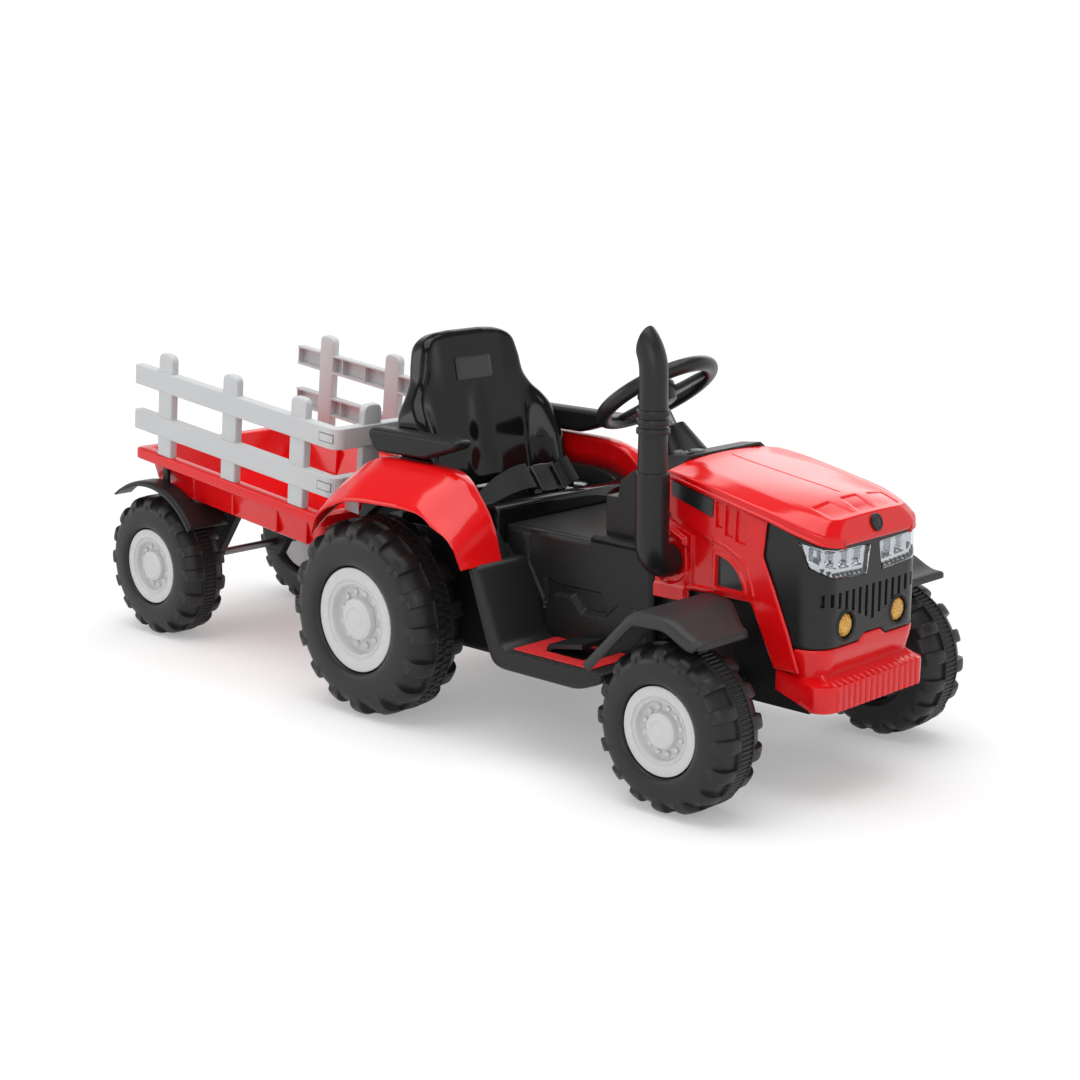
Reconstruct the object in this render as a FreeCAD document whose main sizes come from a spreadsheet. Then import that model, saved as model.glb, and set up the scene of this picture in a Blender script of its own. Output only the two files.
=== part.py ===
import FreeCAD, Part
import math
import os
import re

import Sketcher

# Child's ride-on tractor with a two-wheel trailer.
# +X is forward, +Y the driver's left, +Z up; the origin is on the floor under the middle of the whole train.
# Places near the seat are measured forward from the rear axle, those of the front end from the front axle,
# and heights from the floor.

SIZES = {
    # layout of the train
    "rear_axle_x": -11.0,
    "wheelbase": 547.0,
    "trailer_reach": 552.0,
    "trailer_pitch_deg": 6.0,
    # fits and cutting overrun
    "wall": 3.0,
    "seam": 0.4,
    "running": 0.05,
    "overrun": 10.0,
    # rear wheels
    "rear_tyre_radius": 136.2,
    "rear_tyre_width": 95.0,
    "rear_rim_face": 240.6,
    "rear_rim_radius": 71.7,
    # front wheels
    "front_tyre_radius": 103.5,
    "front_tyre_width": 84.0,
    "front_rim_face": 249.0,
    "front_rim_radius": 54.5,
    # trailer wheels
    "trailer_tyre_radius": 110.3,
    "trailer_tyre_width": 76.0,
    "trailer_wheel_out": 13.5,
    "trailer_rim_radius": 58.0,
    # shared by all wheels
    "tyre_wall": 3.5,
    "lug_angle": 11.0,
    "lug_count": 16.0,
    "rim_wall": 3.0,
    "rim_flange": 4.0,
    # axles
    "axle_radius": 6.0,
    "axle_end_in": 12.0,
    # chassis tub
    "tub_rear": -105.0,
    "tub_front": -137.0,
    "tub_half": 122.0,
    "tub_floor": 92.0,
    "bay_top": 250.0,
    "bay_front": 168.0,
    "tunnel_top": 286.0,
    # running boards
    "board_half": 212.0,
    "board_rear": 192.0,
    "board_front": -122.0,
    "board_low": 113.0,
    "board_rise": 239.6,
    # front subframe
    "nose_front": 108.0,
    "nose_half": 103.2,
    "nose_low": 115.0,
    "nose_top": 240.0,
    # king pins and steering linkage
    "king_y": 158.0,
    "king_radius": 5.0,
    "king_boss": 11.0,
    "king_low": 90.0,
    "lower_arm_z": 128.0,
    "upper_arm_z": 178.0,
    "arm_height": 14.0,
    "arm_half": 13.0,
    "steer_arm": 50.0,
    "steer_arm_z": 203.0,
    "steer_plate": 5.0,
    "steer_pin_radius": 3.0,
    "steer_play": 0.9,
    "tie_rod_z": 211.5,
    "tie_rod_half": 9.0,
    # steering column
    "wheel_centre_x": -222.0,
    "wheel_centre_z": 453.0,
    "column_lean_deg": 35.0,
    "wheel_ring": 76.0,
    "wheel_grip": 10.0,
    "wheel_hub": 26.0,
    "hub_rise": 7.8,
    "hub_below": 18.2,
    "spoke_width": 24.0,
    "spoke_thick": 9.0,
    "shaft_radius": 6.0,
    "crank_rise": 63.9,
    "crank_length": 30.0,
    "crank_width": 14.0,
    "crank_pin": 49.0,
    "horn_radius": 15.0,
    "horn_height": 7.0,
    "horn_travel": 3.0,
    # hood
    "hood_rear": -107.0,
    "hood_front": 127.0,
    "hood_half": 116.0,
    "hood_top": 399.0,
    "hood_drop": 86.0,
    "nose_cap_radius": 14.0,
    "nose_cap_height": 3.0,
    # side panels
    "side_y": 107.0,
    "side_thick": 4.0,
    "side_rear": -134.0,
    "side_front": 98.0,
    "side_low": 163.0,
    "side_top": 373.0,
    "box_depth": 6.0,
    # grille panel and lamps
    "grille_front": 122.0,
    "grille_half": 106.6,
    "grille_rear": 31.0,
    "grille_low": 193.4,
    "grille_top": 345.0,
    "grille_corner": 34.0,
    "lamp_inner_y": 15.0,
    "lamp_low": 274.0,
    "lamp_top": 307.0,
    "lamp_outer_low": 291.0,
    "lamp_outer_top": 317.0,
    "lamp_rear": 93.0,
    "lens_thick": 2.5,
    "fog_y": 54.0,
    "fog_z": 217.0,
    "fog_radius": 14.0,
    "fog_depth": 12.0,
    # bumper
    "bumper_front": 137.0,
    "bumper_rear": 69.0,
    "bumper_low": 118.0,
    "bumper_top": 194.0,
    "bumper_half": 112.0,
    "bumper_nose_half": 98.0,
    # dash
    "dash_rear": -215.0,
    "dash_half": 104.0,
    "dash_deck_half": 72.0,
    "dash_shoulder": 372.0,
    "dash_top": 394.0,
    "boot_radius": 28.0,
    "boot_neck": 15.0,
    "boot_height": 50.0,
    "button_radius": 9.0,
    "button_height": 5.0,
    "button_travel": 2.5,
    "button_x": -129.0,
    "button_y": 30.0,
    "switch_length": 22.0,
    "switch_width": 13.0,
    "switch_height": 8.0,
    "switch_play": 1.2,
    # exhaust
    "stack_x": -99.0,
    "stack_y": 150.0,
    "stack_elbow_z": 272.0,
    "stack_bend": 28.0,
    "stack_seam_z": 384.0,
    "stack_ring_z": 447.0,
    "stack_bend_z": 505.0,
    "stack_low_radius": 21.0,
    "stack_radius": 17.5,
    "stack_ring_radius": 20.5,
    "stack_ring_height": 7.0,
    "stack_ring_pitch": 11.0,
    "stack_tip_bend": 56.0,
    "stack_tip_deg": 38.0,
    "stack_tip_run": 14.0,
    # seat
    "seat_half": 132.0,
    "seat_front": 166.0,
    "seat_lip": 300.0,
    "back_foot_x": 14.0,
    "back_foot_z": 292.0,
    "back_height": 221.0,
    "back_thick": 36.0,
    "back_lean_deg": 10.0,
    "bolster_depth": 44.0,
    "bolster_width": 34.0,
    # armrests
    "rest_inner": 138.0,
    "rest_outer": 170.0,
    "rest_rear": -48.0,
    "rest_front": 128.0,
    "rest_low": 354.0,
    "rest_top": 386.0,
    "pivot_radius": 7.0,
    "pivot_back": 20.0,
    "pivot_depth": 12.0,
    # seat belt
    "belt_width": 38.0,
    "belt_thick": 2.0,
    "belt_x": 86.0,
    "buckle_length": 62.0,
    "buckle_width": 46.0,
    "buckle_thick": 16.0,
    # rear fenders
    "fender_rear": -92.0,
    "fender_front": 205.0,
    "fender_inner": 158.0,
    "fender_outer": 238.0,
    "fender_top": 348.0,
    "fender_low": 240.0,
    "fender_drop": 43.0,
    # front fenders
    "guard_inner": 158.0,
    "guard_outer": 250.0,
    "guard_rear": -123.0,
    "guard_front": 63.0,
    "guard_low": 164.0,
    "guard_top": 241.0,
    "guard_thick": 4.0,
    "guard_shelf": 54.0,
    # foot mats and pedal
    "mat_inner": 126.0,
    "mat_outer": 206.0,
    "mat_thick": 2.0,
    "pedal_length": 58.0,
    "pedal_y": 160.0,
    "pedal_width": 46.0,
    "pedal_thick": 6.0,
    "pedal_barrel": 4.0,
    "pedal_slope_deg": 10.0,
    "pedal_margin": 2.0,
    # drive units, battery
    "gearbox_radius": 30.0,
    "gearbox_width": 34.0,
    "spigot_radius": 17.0,
    "spigot_reach": 42.5,
    "motor_radius": 19.0,
    "motor_length": 58.0,
    "motor_offset": 44.0,
    "battery_length": 96.0,
    "battery_width": 150.0,
    "battery_height": 92.0,
    "battery_x": 113.0,
    # tow hitch
    "hitch_x": -130.0,
    "hitch_z": 150.0,
    "hitch_width": 44.0,
    "hitch_plate": 6.0,
    "hitch_pin_radius": 5.0,
    "hitch_pin_length": 46.0,
    "eye_radius": 15.0,
    "eye_height": 12.0,
    # trailer, measured from its axle in the pitched frame
    "bed_rear": -66.0,
    "bed_gap": 168.0,
    "bed_half": 168.0,
    "bed_top": 176.0,
    "bed_flange": 17.0,
    "bed_lip": 20.0,
    "bed_low": 114.0,
    "bed_taper": 12.0,
    "bed_floor": 4.0,
    # trailer fences
    "fence_thick": 13.0,
    "rail_height": 30.0,
    "rail_rear": -74.0,
    "rail_overhang": 22.0,
    "rail_low_z": 211.0,
    "rail_high_z": 282.0,
    "post_width": 29.0,
    "post_first": 5.0,
    "post_last_in": 62.0,
    "post_top": 337.0,
    "front_post_y": 98.0,
    # trailer running gear
    "arch_in": 14.0,
    "arch_out": 18.0,
    "arch_radius": 131.0,
    "arch_thick": 3.5,
    "hanger_y": 62.0,
    "hanger_thick": 14.0,
    "hanger_length": 150.0,
    "hanger_foot": 34.0,
    "bar_half": 17.0,
    "bar_height": 14.0,
}

# Sizes that follow from others
FOLLOWING = {
    "trailer_rim_face": "=bed_half + trailer_wheel_out",
    "arch_inner": "=bed_half - arch_in",
    "arch_outer": "=bed_half + arch_out",
}

doc = FreeCAD.newDocument("ride_on_tractor")
sheet = doc.addObject("Spreadsheet::Sheet", "Sizes")
ALIASES = SIZES | FOLLOWING
for row, (alias, amount) in enumerate(ALIASES.items(), start=1):
    sheet.set(f"A{row}", alias)
    sheet.set(f"B{row}", str(amount))
    sheet.setAlias(f"B{row}", alias)
doc.recompute()

pieces = {}


def bound(text):
    """The expression with every size's name pointed at its cell in the sheet."""
    return re.sub(r"[a-z_]+", lambda word: f"Sizes.{word[0]}" if word[0] in ALIASES else word[0], text)


def number(text):
    """The value that an expression of sizes has now."""
    return float(sheet.evalExpression(text))


def along(name):
    """A place along the tractor, given forward from the rear axle."""
    return f"(rear_axle_x + {name})"


def ahead(name):
    """A place along the tractor, given forward from the front axle."""
    return f"(rear_axle_x + wheelbase + {name})"


def tie(item, **places):
    """Binds properties to expressions; two underscores stand for the dot in a property's path."""
    for path, text in places.items():
        item.setExpression(path.replace("__", "."), bound(text))


def keep(item, label):
    """Names a sub-part, so that it is written out."""
    item.Label = label
    pieces[label] = item
    return item


def mirror(label, source):
    """The left-hand piece: the right-hand one mirrored across the middle plane."""
    item = doc.addObject("Part::Mirroring", label)
    item.Source = source
    item.Base = FreeCAD.Vector(0, 0, 0)
    item.Normal = FreeCAD.Vector(0, 1, 0)
    return keep(item, label)


def new_body(name):
    return doc.addObject("PartDesign::Body", name)


def plane_of(body, role):
    return next(item for item in body.Origin.OriginFeatures if item.Role == role)


def draw(body, role, points, offset="0", turn_deg=0.0):
    """A closed outline on one of the body's own planes, moved along its normal by offset.

    Each point is a pair of expressions. A third entry, a radius expression and a side, makes the edge to the
    next point an arc: side 1 puts its centre on the left of the way along the edge, side -1 on the right.
    """
    sketch = body.newObject("Sketcher::SketchObject", f"{body.Name}_outline")
    sketch.AttachmentSupport = [(plane_of(body, role), "")]
    sketch.MapMode = "FlatFace"
    turn = FreeCAD.Rotation(FreeCAD.Vector(1, 0, 0), turn_deg)
    sketch.AttachmentOffset = FreeCAD.Placement(FreeCAD.Vector(0, 0, number(offset)), turn)
    if offset != "0":
        tie(sketch, AttachmentOffset__Base__z=offset)
    spots = [FreeCAD.Vector(number(point[0]), number(point[1]), 0) for point in points]
    starts = []
    ends = []
    for index, point in enumerate(points):
        here = spots[index]
        there = spots[(index + 1) % len(points)]
        if len(point) == 2:
            sketch.addGeometry(Part.LineSegment(here, there))
            starts.append((index, 1))
            ends.append((index, 2))
            continue
        radius, side = point[2]
        chord = there - here
        reach = math.sqrt(max(number(radius) ** 2 - (chord.Length / 2) ** 2, 0.0))
        across = FreeCAD.Vector(-chord.y, chord.x, 0).normalize()
        centre = (here + there) / 2 + across * reach * side
        first, last = (here, there) if side > 0 else (there, here)
        begin = math.atan2(first.y - centre.y, first.x - centre.x)
        finish = math.atan2(last.y - centre.y, last.x - centre.x)
        circle = Part.Circle(centre, FreeCAD.Vector(0, 0, 1), number(radius))
        sketch.addGeometry(Part.ArcOfCircle(circle, begin, finish))
        starts.append((index, 1 if side > 0 else 2))
        ends.append((index, 2 if side > 0 else 1))
    for index, point in enumerate(points):
        following = starts[(index + 1) % len(points)]
        sketch.addConstraint(Sketcher.Constraint("Coincident", *ends[index], *following))
        for kind, text, spot in (("DistanceX", point[0], spots[index].x),
                ("DistanceY", point[1], spots[index].y)):
            place = sketch.addConstraint(Sketcher.Constraint(kind, -1, 1, *starts[index], spot))
            sketch.setExpression(f"Constraints[{place}]", bound(text))
        if len(point) == 3:
            place = sketch.addConstraint(Sketcher.Constraint("Radius", index, number(point[2][0])))
            sketch.setExpression(f"Constraints[{place}]", bound(point[2][0]))
    return sketch


def pad(body, sketch, length, sides="One side"):
    feature = body.newObject("PartDesign::Pad", f"{body.Name}_pad")
    feature.Profile = sketch
    feature.SideType = sides
    tie(feature, Length=length)
    return feature


def pocket(body, sketch, length, sides="One side", reverse=True):
    """Cuts an outline's prism out of the body, along the sketch's normal unless it is symmetric."""
    feature = body.newObject("PartDesign::Pocket", f"{body.Name}_pocket")
    feature.Profile = sketch
    feature.SideType = sides
    feature.Reversed = reverse
    tie(feature, Length=length)
    return feature


def turned(body, sketch, angle=""):
    """Revolves an outline about the body's own Y axis: all round, or by an angle about the sketch."""
    feature = body.newObject("PartDesign::Revolution", f"{body.Name}_turn")
    feature.Profile = sketch
    feature.ReferenceAxis = (plane_of(body, "Y_Axis"), [""])
    if angle:
        feature.Midplane = True
        tie(feature, Angle=angle)
    return feature


def loft(body, sketches, kind="AdditiveLoft", ruled=False):
    feature = body.newObject(f"PartDesign::{kind}", f"{body.Name}_loft")
    feature.Profile = sketches[0]
    feature.Sections = sketches[1:]
    feature.Ruled = ruled
    return feature


def solid(kind, name, places, axis=(0, 0, 1), angle=0.0, **sizes):
    """A primitive with its sizes and its base point bound to the sheet, turned by angle about axis."""
    item = doc.addObject(f"Part::{kind}", name)
    turn = FreeCAD.Rotation(FreeCAD.Vector(*axis), angle)
    item.Placement = FreeCAD.Placement(FreeCAD.Vector(0, 0, 0), turn)
    tie(item, Placement__Base__x=places[0], Placement__Base__y=places[1], Placement__Base__z=places[2],
            **sizes)
    return item


def joined(name, items):
    item = doc.addObject("Part::MultiFuse", name)
    item.Shapes = items
    return item


def without(name, base, tool):
    item = doc.addObject("Part::Cut", name)
    item.Base = base
    item.Tool = tool
    return item


def group(name, items):
    item = doc.addObject("Part::Compound", name)
    item.Links = items
    return item


def mirrored_pair(name, right):
    """A right-hand solid and its mirror image on the left, together as one sub-part."""
    left = doc.addObject("Part::Mirroring", f"{name}_left")
    left.Source = right
    left.Normal = FreeCAD.Vector(0, 1, 0)
    return group(name, [right, left])


def shared(shares, start, span, base, rise):
    """Outline points from shares of a span from start and of a rise from base."""
    return [(f"{start} + {along_share} * {span}", f"{base} + {up_share} * {rise}") for along_share,
            up_share in shares]


# Wheels: a blow-moulded tyre with staggered lugs around a moulded rim with a closed hub.
TYRE_SHARES = (
    (0.06, 0.530), (0.00, 0.640), (0.02, 0.770), (0.12, 0.880), (0.26, 0.940), (0.345, 0.955), (0.350, 1.0),
    (0.650, 1.0), (0.655, 0.955), (0.74, 0.940), (0.88, 0.880), (0.98, 0.770), (1.00, 0.640), (0.94, 0.530),
)
CAVITY_SHARES = (
    (0.94, 0.530, -1, 0), (1.00, 0.640, -1, 0), (0.98, 0.770, -1, 0), (0.88, 0.880, -1, -1),
    (0.655, 0.955, 0, -1),
    (0.345, 0.955, 0, -1), (0.12, 0.880, 1, -1), (0.02, 0.770, 1, 0), (0.00, 0.640, 1, 0),
    (0.06, 0.530, 1, 0),
)
LUG_SHARES = ((0.347, 0.930), (0.347, 0.996), (0.20, 0.990), (0.07, 0.935), (0.015, 0.810), (0.09, 0.810))
BEAD_SHARE = 0.06
SEAT_SHARE = 0.530
RIM_SHARES = {"dish": 0.13, "hub": 0.02, "back": 0.80, "hub_radius": 0.36, "dish_radius": 0.70,
        "lip_radius": 0.82}


def tyre(name, wheel):
    """The right-hand tyre: an open channel section turned about the axle, with two rows of lugs."""
    body = new_body(name)

    def spot(width_share, radius_share, inward=0, down=0):
        return (f"({width_share} - {BEAD_SHARE}) * {wheel}_tyre_width - {wheel}_rim_face + {inward} * tyre_wall",
                f"{radius_share} * {wheel}_tyre_radius + {down} * tyre_wall")

    section = [spot(*share) for share in TYRE_SHARES] + [spot(*share) for share in CAVITY_SHARES]
    turned(body, draw(body, "YZ_Plane", section))
    half_pitch = 180.0 / number("lug_count")
    for flip, turn_deg in ((False, 0.0), (True, half_pitch)):
        lug_points = [spot(1 - share[0] if flip else share[0], share[1]) for share in LUG_SHARES]
        lug = turned(body, draw(body, "YZ_Plane", lug_points, turn_deg=turn_deg), "lug_angle")
        ring = body.newObject("PartDesign::PolarPattern", f"{name}_lugs")
        ring.Originals = [lug]
        ring.Axis = (plane_of(body, "Y_Axis"), [""])
        ring.Angle = 360
        tie(ring, Occurrences="lug_count")
        body.Tip = ring
    return body


def rim(name, wheel):
    """The right-hand rim: flange, dish, closed hub with a blind axle bore, and the barrel inside the tyre."""
    body = new_body(name)
    face = f"(0 - {wheel}_rim_face)"
    width = f"{wheel}_tyre_width"
    radius = f"{wheel}_rim_radius"
    seat = f"({SEAT_SHARE} * {wheel}_tyre_radius - seam)"
    dish = f"({face} + {RIM_SHARES['dish']} * {width})"
    hub_face = f"({face} + {RIM_SHARES['hub']} * {width})"
    back = f"({face} + {RIM_SHARES['back']} * {width})"
    hub_radius = f"({RIM_SHARES['hub_radius']} * {radius})"
    lip = f"({RIM_SHARES['lip_radius']} * {radius})"
    dish_radius = f"({RIM_SHARES['dish_radius']} * {radius})"
    bore = "(axle_radius + running)"
    section = [
        (hub_face, "0"), (hub_face, hub_radius), (dish, hub_radius), (dish, dish_radius),
        (f"{face} + rim_flange", lip), (face, lip), (face, seat),
        (back, seat), (back, f"{seat} - rim_wall"), (f"{dish} + rim_wall", f"{seat} - rim_wall"),
        (f"{dish} + rim_wall", hub_radius), (back, hub_radius), (back, bore),
        (f"{face} + axle_end_in - running", bore), (f"{face} + axle_end_in - running", "0"),
    ]
    turned(body, draw(body, "YZ_Plane", section))
    return body


for wheel, axle_x in (("rear", "rear_axle_x"), ("front", "rear_axle_x + wheelbase"),
                      ("trailer", "rear_axle_x - trailer_reach")):
    for kind, maker in (("tyre", tyre), ("rim", rim)):
        item = keep(maker(f"{wheel}_{kind}_right", wheel), f"{wheel}_{kind}_right")
        tie(item, Placement__Base__x=axle_x, Placement__Base__z=f"{wheel}_tyre_radius")
        mirror(f"{wheel}_{kind}_left", item)


# Rear axle: a steel rod through both drive units, carrying the rear wheels.
AXLE_TURN = (1, 0, 0)
keep(solid("Cylinder", "rear_axle_rod", ("rear_axle_x", "rear_rim_face - axle_end_in", "rear_tyre_radius"),
           AXLE_TURN, 90, Radius="axle_radius", Height="2 * (rear_rim_face - axle_end_in)"), "rear_axle")


# Chassis tub: one deep moulding with the battery bay under the seat, the tunnel ahead of it, a running board
# with a sloping rear post on each side, and a wheel housing from each post up beside the seat.
BOARD_TOP_SHARE = 0.21
BOARD_SHARES = (
    (0.0, 1.0), (0.154, 0.17), (0.185, 0.06), (0.231, 0.0), (0.83, 0.0), (1.0, 0.12), (1.0, BOARD_TOP_SHARE),
    (0.31, BOARD_TOP_SHARE), (0.26, 0.235), (0.235, 0.30), (0.075, 1.0),
)
BOARD_HOLLOW_SHARES = ((0.25, -0.10), (0.80, -0.10), (0.80, 0.185), (0.27, 0.185))
BOARD_SPAN = "(wheelbase + board_front - board_rear)"
BOARD_TOP = f"(board_low + {BOARD_TOP_SHARE} * (board_rise - board_low))"
FENDER_SHARES = (
    # forward share and rise share of the outer skin
    (0.0, 0.42), (0.057, 0.736), (0.212, 0.97), (0.438, 1.0), (0.717, 0.95), (0.855, 0.68), (0.936, 0.415),
    (0.99, 0.05), (1.0, 0.0),
)
STEEP_SHARE = 0.1


def arch_outline(body, across, drop, foot="0"):
    """A fender's lengthwise section, its top lowered by drop: the skin and a line one wall inside it."""
    rise = f"(fender_top - fender_low - {drop})"
    skin = shared(FENDER_SHARES, along("fender_rear"), "(fender_front - fender_rear)", "fender_low", rise)
    under = []
    for (x_text, z_text), (forward, _) in zip(skin, FENDER_SHARES):
        inward = "+ wall" if forward < STEEP_SHARE else "- wall" if forward > 1 - STEEP_SHARE else ""
        down = "" if forward in (0.0, 1.0) else "- wall"
        under.append((f"{x_text} {inward}", f"{z_text} {down}"))
    skin[-1] = (skin[-1][0], f"{skin[-1][1]} - {foot}")
    under[-1] = (under[-1][0], f"{under[-1][1]} - {foot}")
    return draw(body, "XZ_Plane", skin + under[::-1], across)


def chassis_tub():
    body = new_body("chassis")
    rear = along("tub_rear")
    front = ahead("tub_front")
    step = along("bay_front")
    pad(body, draw(body, "XZ_Plane", [
        (rear, "tub_floor"), (front, "tub_floor"), (front, "tunnel_top"), (step, "tunnel_top"),
        (step, "bay_top"), (rear, "bay_top"),
    ]), "2 * tub_half", "Symmetric")
    pocket(body, draw(body, "XZ_Plane", [
        (f"{rear} + wall", "tub_floor + wall"), (f"{front} - wall", "tub_floor + wall"),
        (f"{front} - wall", "tunnel_top - wall"), (f"{step} + wall", "tunnel_top - wall"),
        (f"{step} + wall", "bay_top - wall"), (f"{step} - wall", "bay_top - wall"),
        (f"{step} - wall", "bay_top + overrun"), (f"{rear} + wall", "bay_top + overrun"),
    ]), "2 * (tub_half - wall)", "Symmetric")
    parts = [body]
    board = new_body("board")
    rise = "(board_rise - board_low)"
    pad(board, draw(board, "XZ_Plane", shared(BOARD_SHARES, along("board_rear"), BOARD_SPAN, "board_low",
            rise),
                    "tub_half - wall"), "board_half - tub_half + wall")
    pocket(board, draw(board, "XZ_Plane", shared(BOARD_HOLLOW_SHARES, along("board_rear"), BOARD_SPAN,
            "board_low", rise),
                       "tub_half + wall"), "board_half - tub_half - 2 * wall")
    housing = new_body("wheel_housing")
    pad(housing, arch_outline(housing, "seat_half + seam", "wall", "wall"),
            "fender_inner - seat_half - 2 * seam")
    parts += [mirrored_pair("boards", board), mirrored_pair("housings", housing)]
    drill = solid("Cylinder", "tub_drill", ("rear_axle_x", "tub_half + overrun", "rear_tyre_radius"),
            AXLE_TURN, 90,
                  Radius="spigot_radius + seam", Height="2 * (tub_half + overrun)")
    return without("tub", joined("tub_shell", parts), drill)


keep(chassis_tub(), "chassis_tub")


# Drive units: a round gearbox on the axle with its motor across the back, one inside each tub wall.
def drive_unit():
    inner = "tub_half - wall - seam - gearbox_width"
    box = solid("Cylinder", "gearbox", ("rear_axle_x", f"0 - ({inner})", "rear_tyre_radius"), AXLE_TURN, 90,
                Radius="gearbox_radius", Height="gearbox_width")
    spigot = solid("Cylinder", "spigot", ("rear_axle_x", f"0 - ({inner})", "rear_tyre_radius"), AXLE_TURN, 90,
                   Radius="spigot_radius", Height="gearbox_width + wall + spigot_reach")
    motor = solid("Cylinder", "motor", ("rear_axle_x + motor_offset",
            f"0 - ({inner}) + motor_length - gearbox_width",
                                        "rear_tyre_radius"), AXLE_TURN, 90,
                  Radius="motor_radius", Height="motor_length")
    bore = solid("Cylinder", "unit_bore", ("rear_axle_x", "0", "rear_tyre_radius"), AXLE_TURN, 90,
                 Radius="axle_radius + running", Height="rear_rim_face")
    return without("drive_unit", joined("drive_block", [box, spigot, motor]), bore)


keep(drive_unit(), "drive_unit_right")
mirror("drive_unit_left", pieces["drive_unit_right"])

# Battery: a sealed block on the bay floor, ahead of the motors.
keep(solid("Box", "battery_block", (f"{along('battery_x')} - battery_length / 2", "0 - battery_width / 2",
                                    "tub_floor + wall"),
           Length="battery_length", Width="battery_width", Height="battery_height"), "battery")


# Front subframe: the dark skirt box under the hood, with two cross arms that hold the king pins.
def front_subframe():
    body = new_body("nose")
    rear = ahead("tub_front")
    front = ahead("nose_front")
    skirt_shares = ((0.0, 0.10), (0.16, 0.0), (1.0, 0.0), (1.0, 0.12), (0.86, 0.42), (0.64, 1.0), (0.0, 1.0))
    hollow_shares = ((0.02, -0.10), (0.97, -0.10), (0.97, 0.11), (0.84, 0.40), (0.63, 0.97), (0.02, 0.97))
    span = "(nose_front - tub_front)"
    rise = "(nose_top - nose_low)"
    pad(body, draw(body, "XZ_Plane", shared(skirt_shares, rear, span, "nose_low", rise)), "2 * nose_half",
            "Symmetric")
    pocket(body, draw(body, "XZ_Plane", shared(hollow_shares, rear, span, "nose_low", rise)),
           "2 * (nose_half - wall)", "Symmetric")
    king_x = "(rear_axle_x + wheelbase)"
    solids = [body]
    holes = []
    for name, low in (("lower", "lower_arm_z"), ("upper", "upper_arm_z")):
        solids.append(solid("Box", f"{name}_arm", (f"{king_x} - arm_half", "0 - king_y", low),
                            Length="2 * arm_half", Width="2 * king_y", Height="arm_height"))
        for side, hand in (("right", "0 -"), ("left", "")):
            solids.append(solid("Cylinder", f"{name}_boss_{side}", (king_x, f"{hand} king_y", low),
                                Radius="king_boss", Height="arm_height"))
            holes.append(solid("Cylinder", f"{name}_bore_{side}",
                    (king_x, f"{hand} king_y", f"{low} - overrun"),
                               Radius="king_radius + running", Height="arm_height + 2 * overrun"))
    holes.append(solid("Box", "tie_rod_window", (f"{king_x} - steer_arm - 2 * tie_rod_half",
            "0 - nose_half - overrun",
                                                 "tie_rod_z - 2 * steer_plate"),
                       Length="4 * tie_rod_half", Width="2 * (nose_half + overrun)",
                       Height="5 * steer_plate"))
    holes.append(solid("Box", "column_window", (f"{rear} - overrun", "0 - 2 * crank_length",
            "tie_rod_z - 2 * steer_plate"),
                       Length="6 * tie_rod_half + overrun - tub_front - steer_arm", Width="4 * crank_length",
                       Height="nose_top"))
    return without("subframe", joined("subframe_shell", solids), joined("subframe_cuts", holes))


keep(front_subframe(), "front_subframe")


# Steering knuckles: a king pin with the stub axle across its foot and an arm at its head that carries the
# tie rod's pin.
LEVER_SHARE = 0.83


def knuckle():
    king_x = "(rear_axle_x + wheelbase)"
    pin = solid("Cylinder", "king_pin", (king_x, "0 - king_y", "king_low"),
                Radius="king_radius", Height="steer_arm_z + steer_plate - king_low")
    stub = solid("Cylinder", "stub_axle", (king_x, "0 - king_y", "front_tyre_radius"), AXLE_TURN, 90,
                 Radius="axle_radius", Height="front_rim_face - axle_end_in - king_y")
    block = solid("Cylinder", "knuckle_block", (king_x, "0 - king_y", "king_low"),
                  Radius="king_boss", Height="lower_arm_z - king_low - seam")
    arm = solid("Box", "steer_lever", (f"{king_x} - steer_arm - 2 * steer_pin_radius",
            f"0 - king_y - {LEVER_SHARE} * tie_rod_half",
                                       "steer_arm_z"),
                Length="steer_arm + 4 * steer_pin_radius", Width=f"2 * {LEVER_SHARE} * tie_rod_half",
                Height="steer_plate")
    link = solid("Cylinder", "link_pin", (f"{king_x} - steer_arm", "0 - king_y", "steer_arm_z"),
                 Radius="steer_pin_radius", Height="tie_rod_z + 2 * steer_plate - steer_arm_z")
    return joined("knuckle", [pin, stub, block, arm, link])


keep(knuckle(), "steering_knuckle_right")
mirror("steering_knuckle_left", pieces["steering_knuckle_right"])


# Tie rod: a flat bar with a slot at each end for the knuckle's pin and a fork in the middle for the crank.
def tie_rod():
    link_x = "(rear_axle_x + wheelbase - steer_arm)"
    bar = solid("Box", "tie_bar", (f"{link_x} - tie_rod_half", "0 - king_y - 2 * tie_rod_half", "tie_rod_z"),
                Length="2 * tie_rod_half", Width="2 * (king_y + 2 * tie_rod_half)", Height="steer_plate")
    parts = [bar]
    slots = []
    for side, hand in (("right", "0 - king_y"), ("left", "king_y")):
        slots.append(solid("Box", f"slot_{side}", (f"{link_x} - 2 * steer_pin_radius - steer_play",
                                                   f"{hand} - steer_pin_radius - steer_play",
                                                   "tie_rod_z - overrun"),
                           Length="4 * steer_pin_radius + 2 * steer_play",
                           Width="2 * (steer_pin_radius + steer_play)",
                           Height="3 * overrun"))
    for side, hand in (("right", "0 - steer_pin_radius - steer_play - steer_plate"),
                       ("left", "steer_pin_radius + steer_play")):
        parts.append(solid("Box", f"fork_{side}", (f"{link_x} - 7 * tie_rod_half", hand, "tie_rod_z"),
                           Length="8 * tie_rod_half", Width="steer_plate", Height="4 * tie_rod_half"))
    return without("tie_bar_slotted", joined("tie_bar_fork", parts), group("tie_slots", slots))


keep(tie_rod(), "tie_rod")


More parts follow.
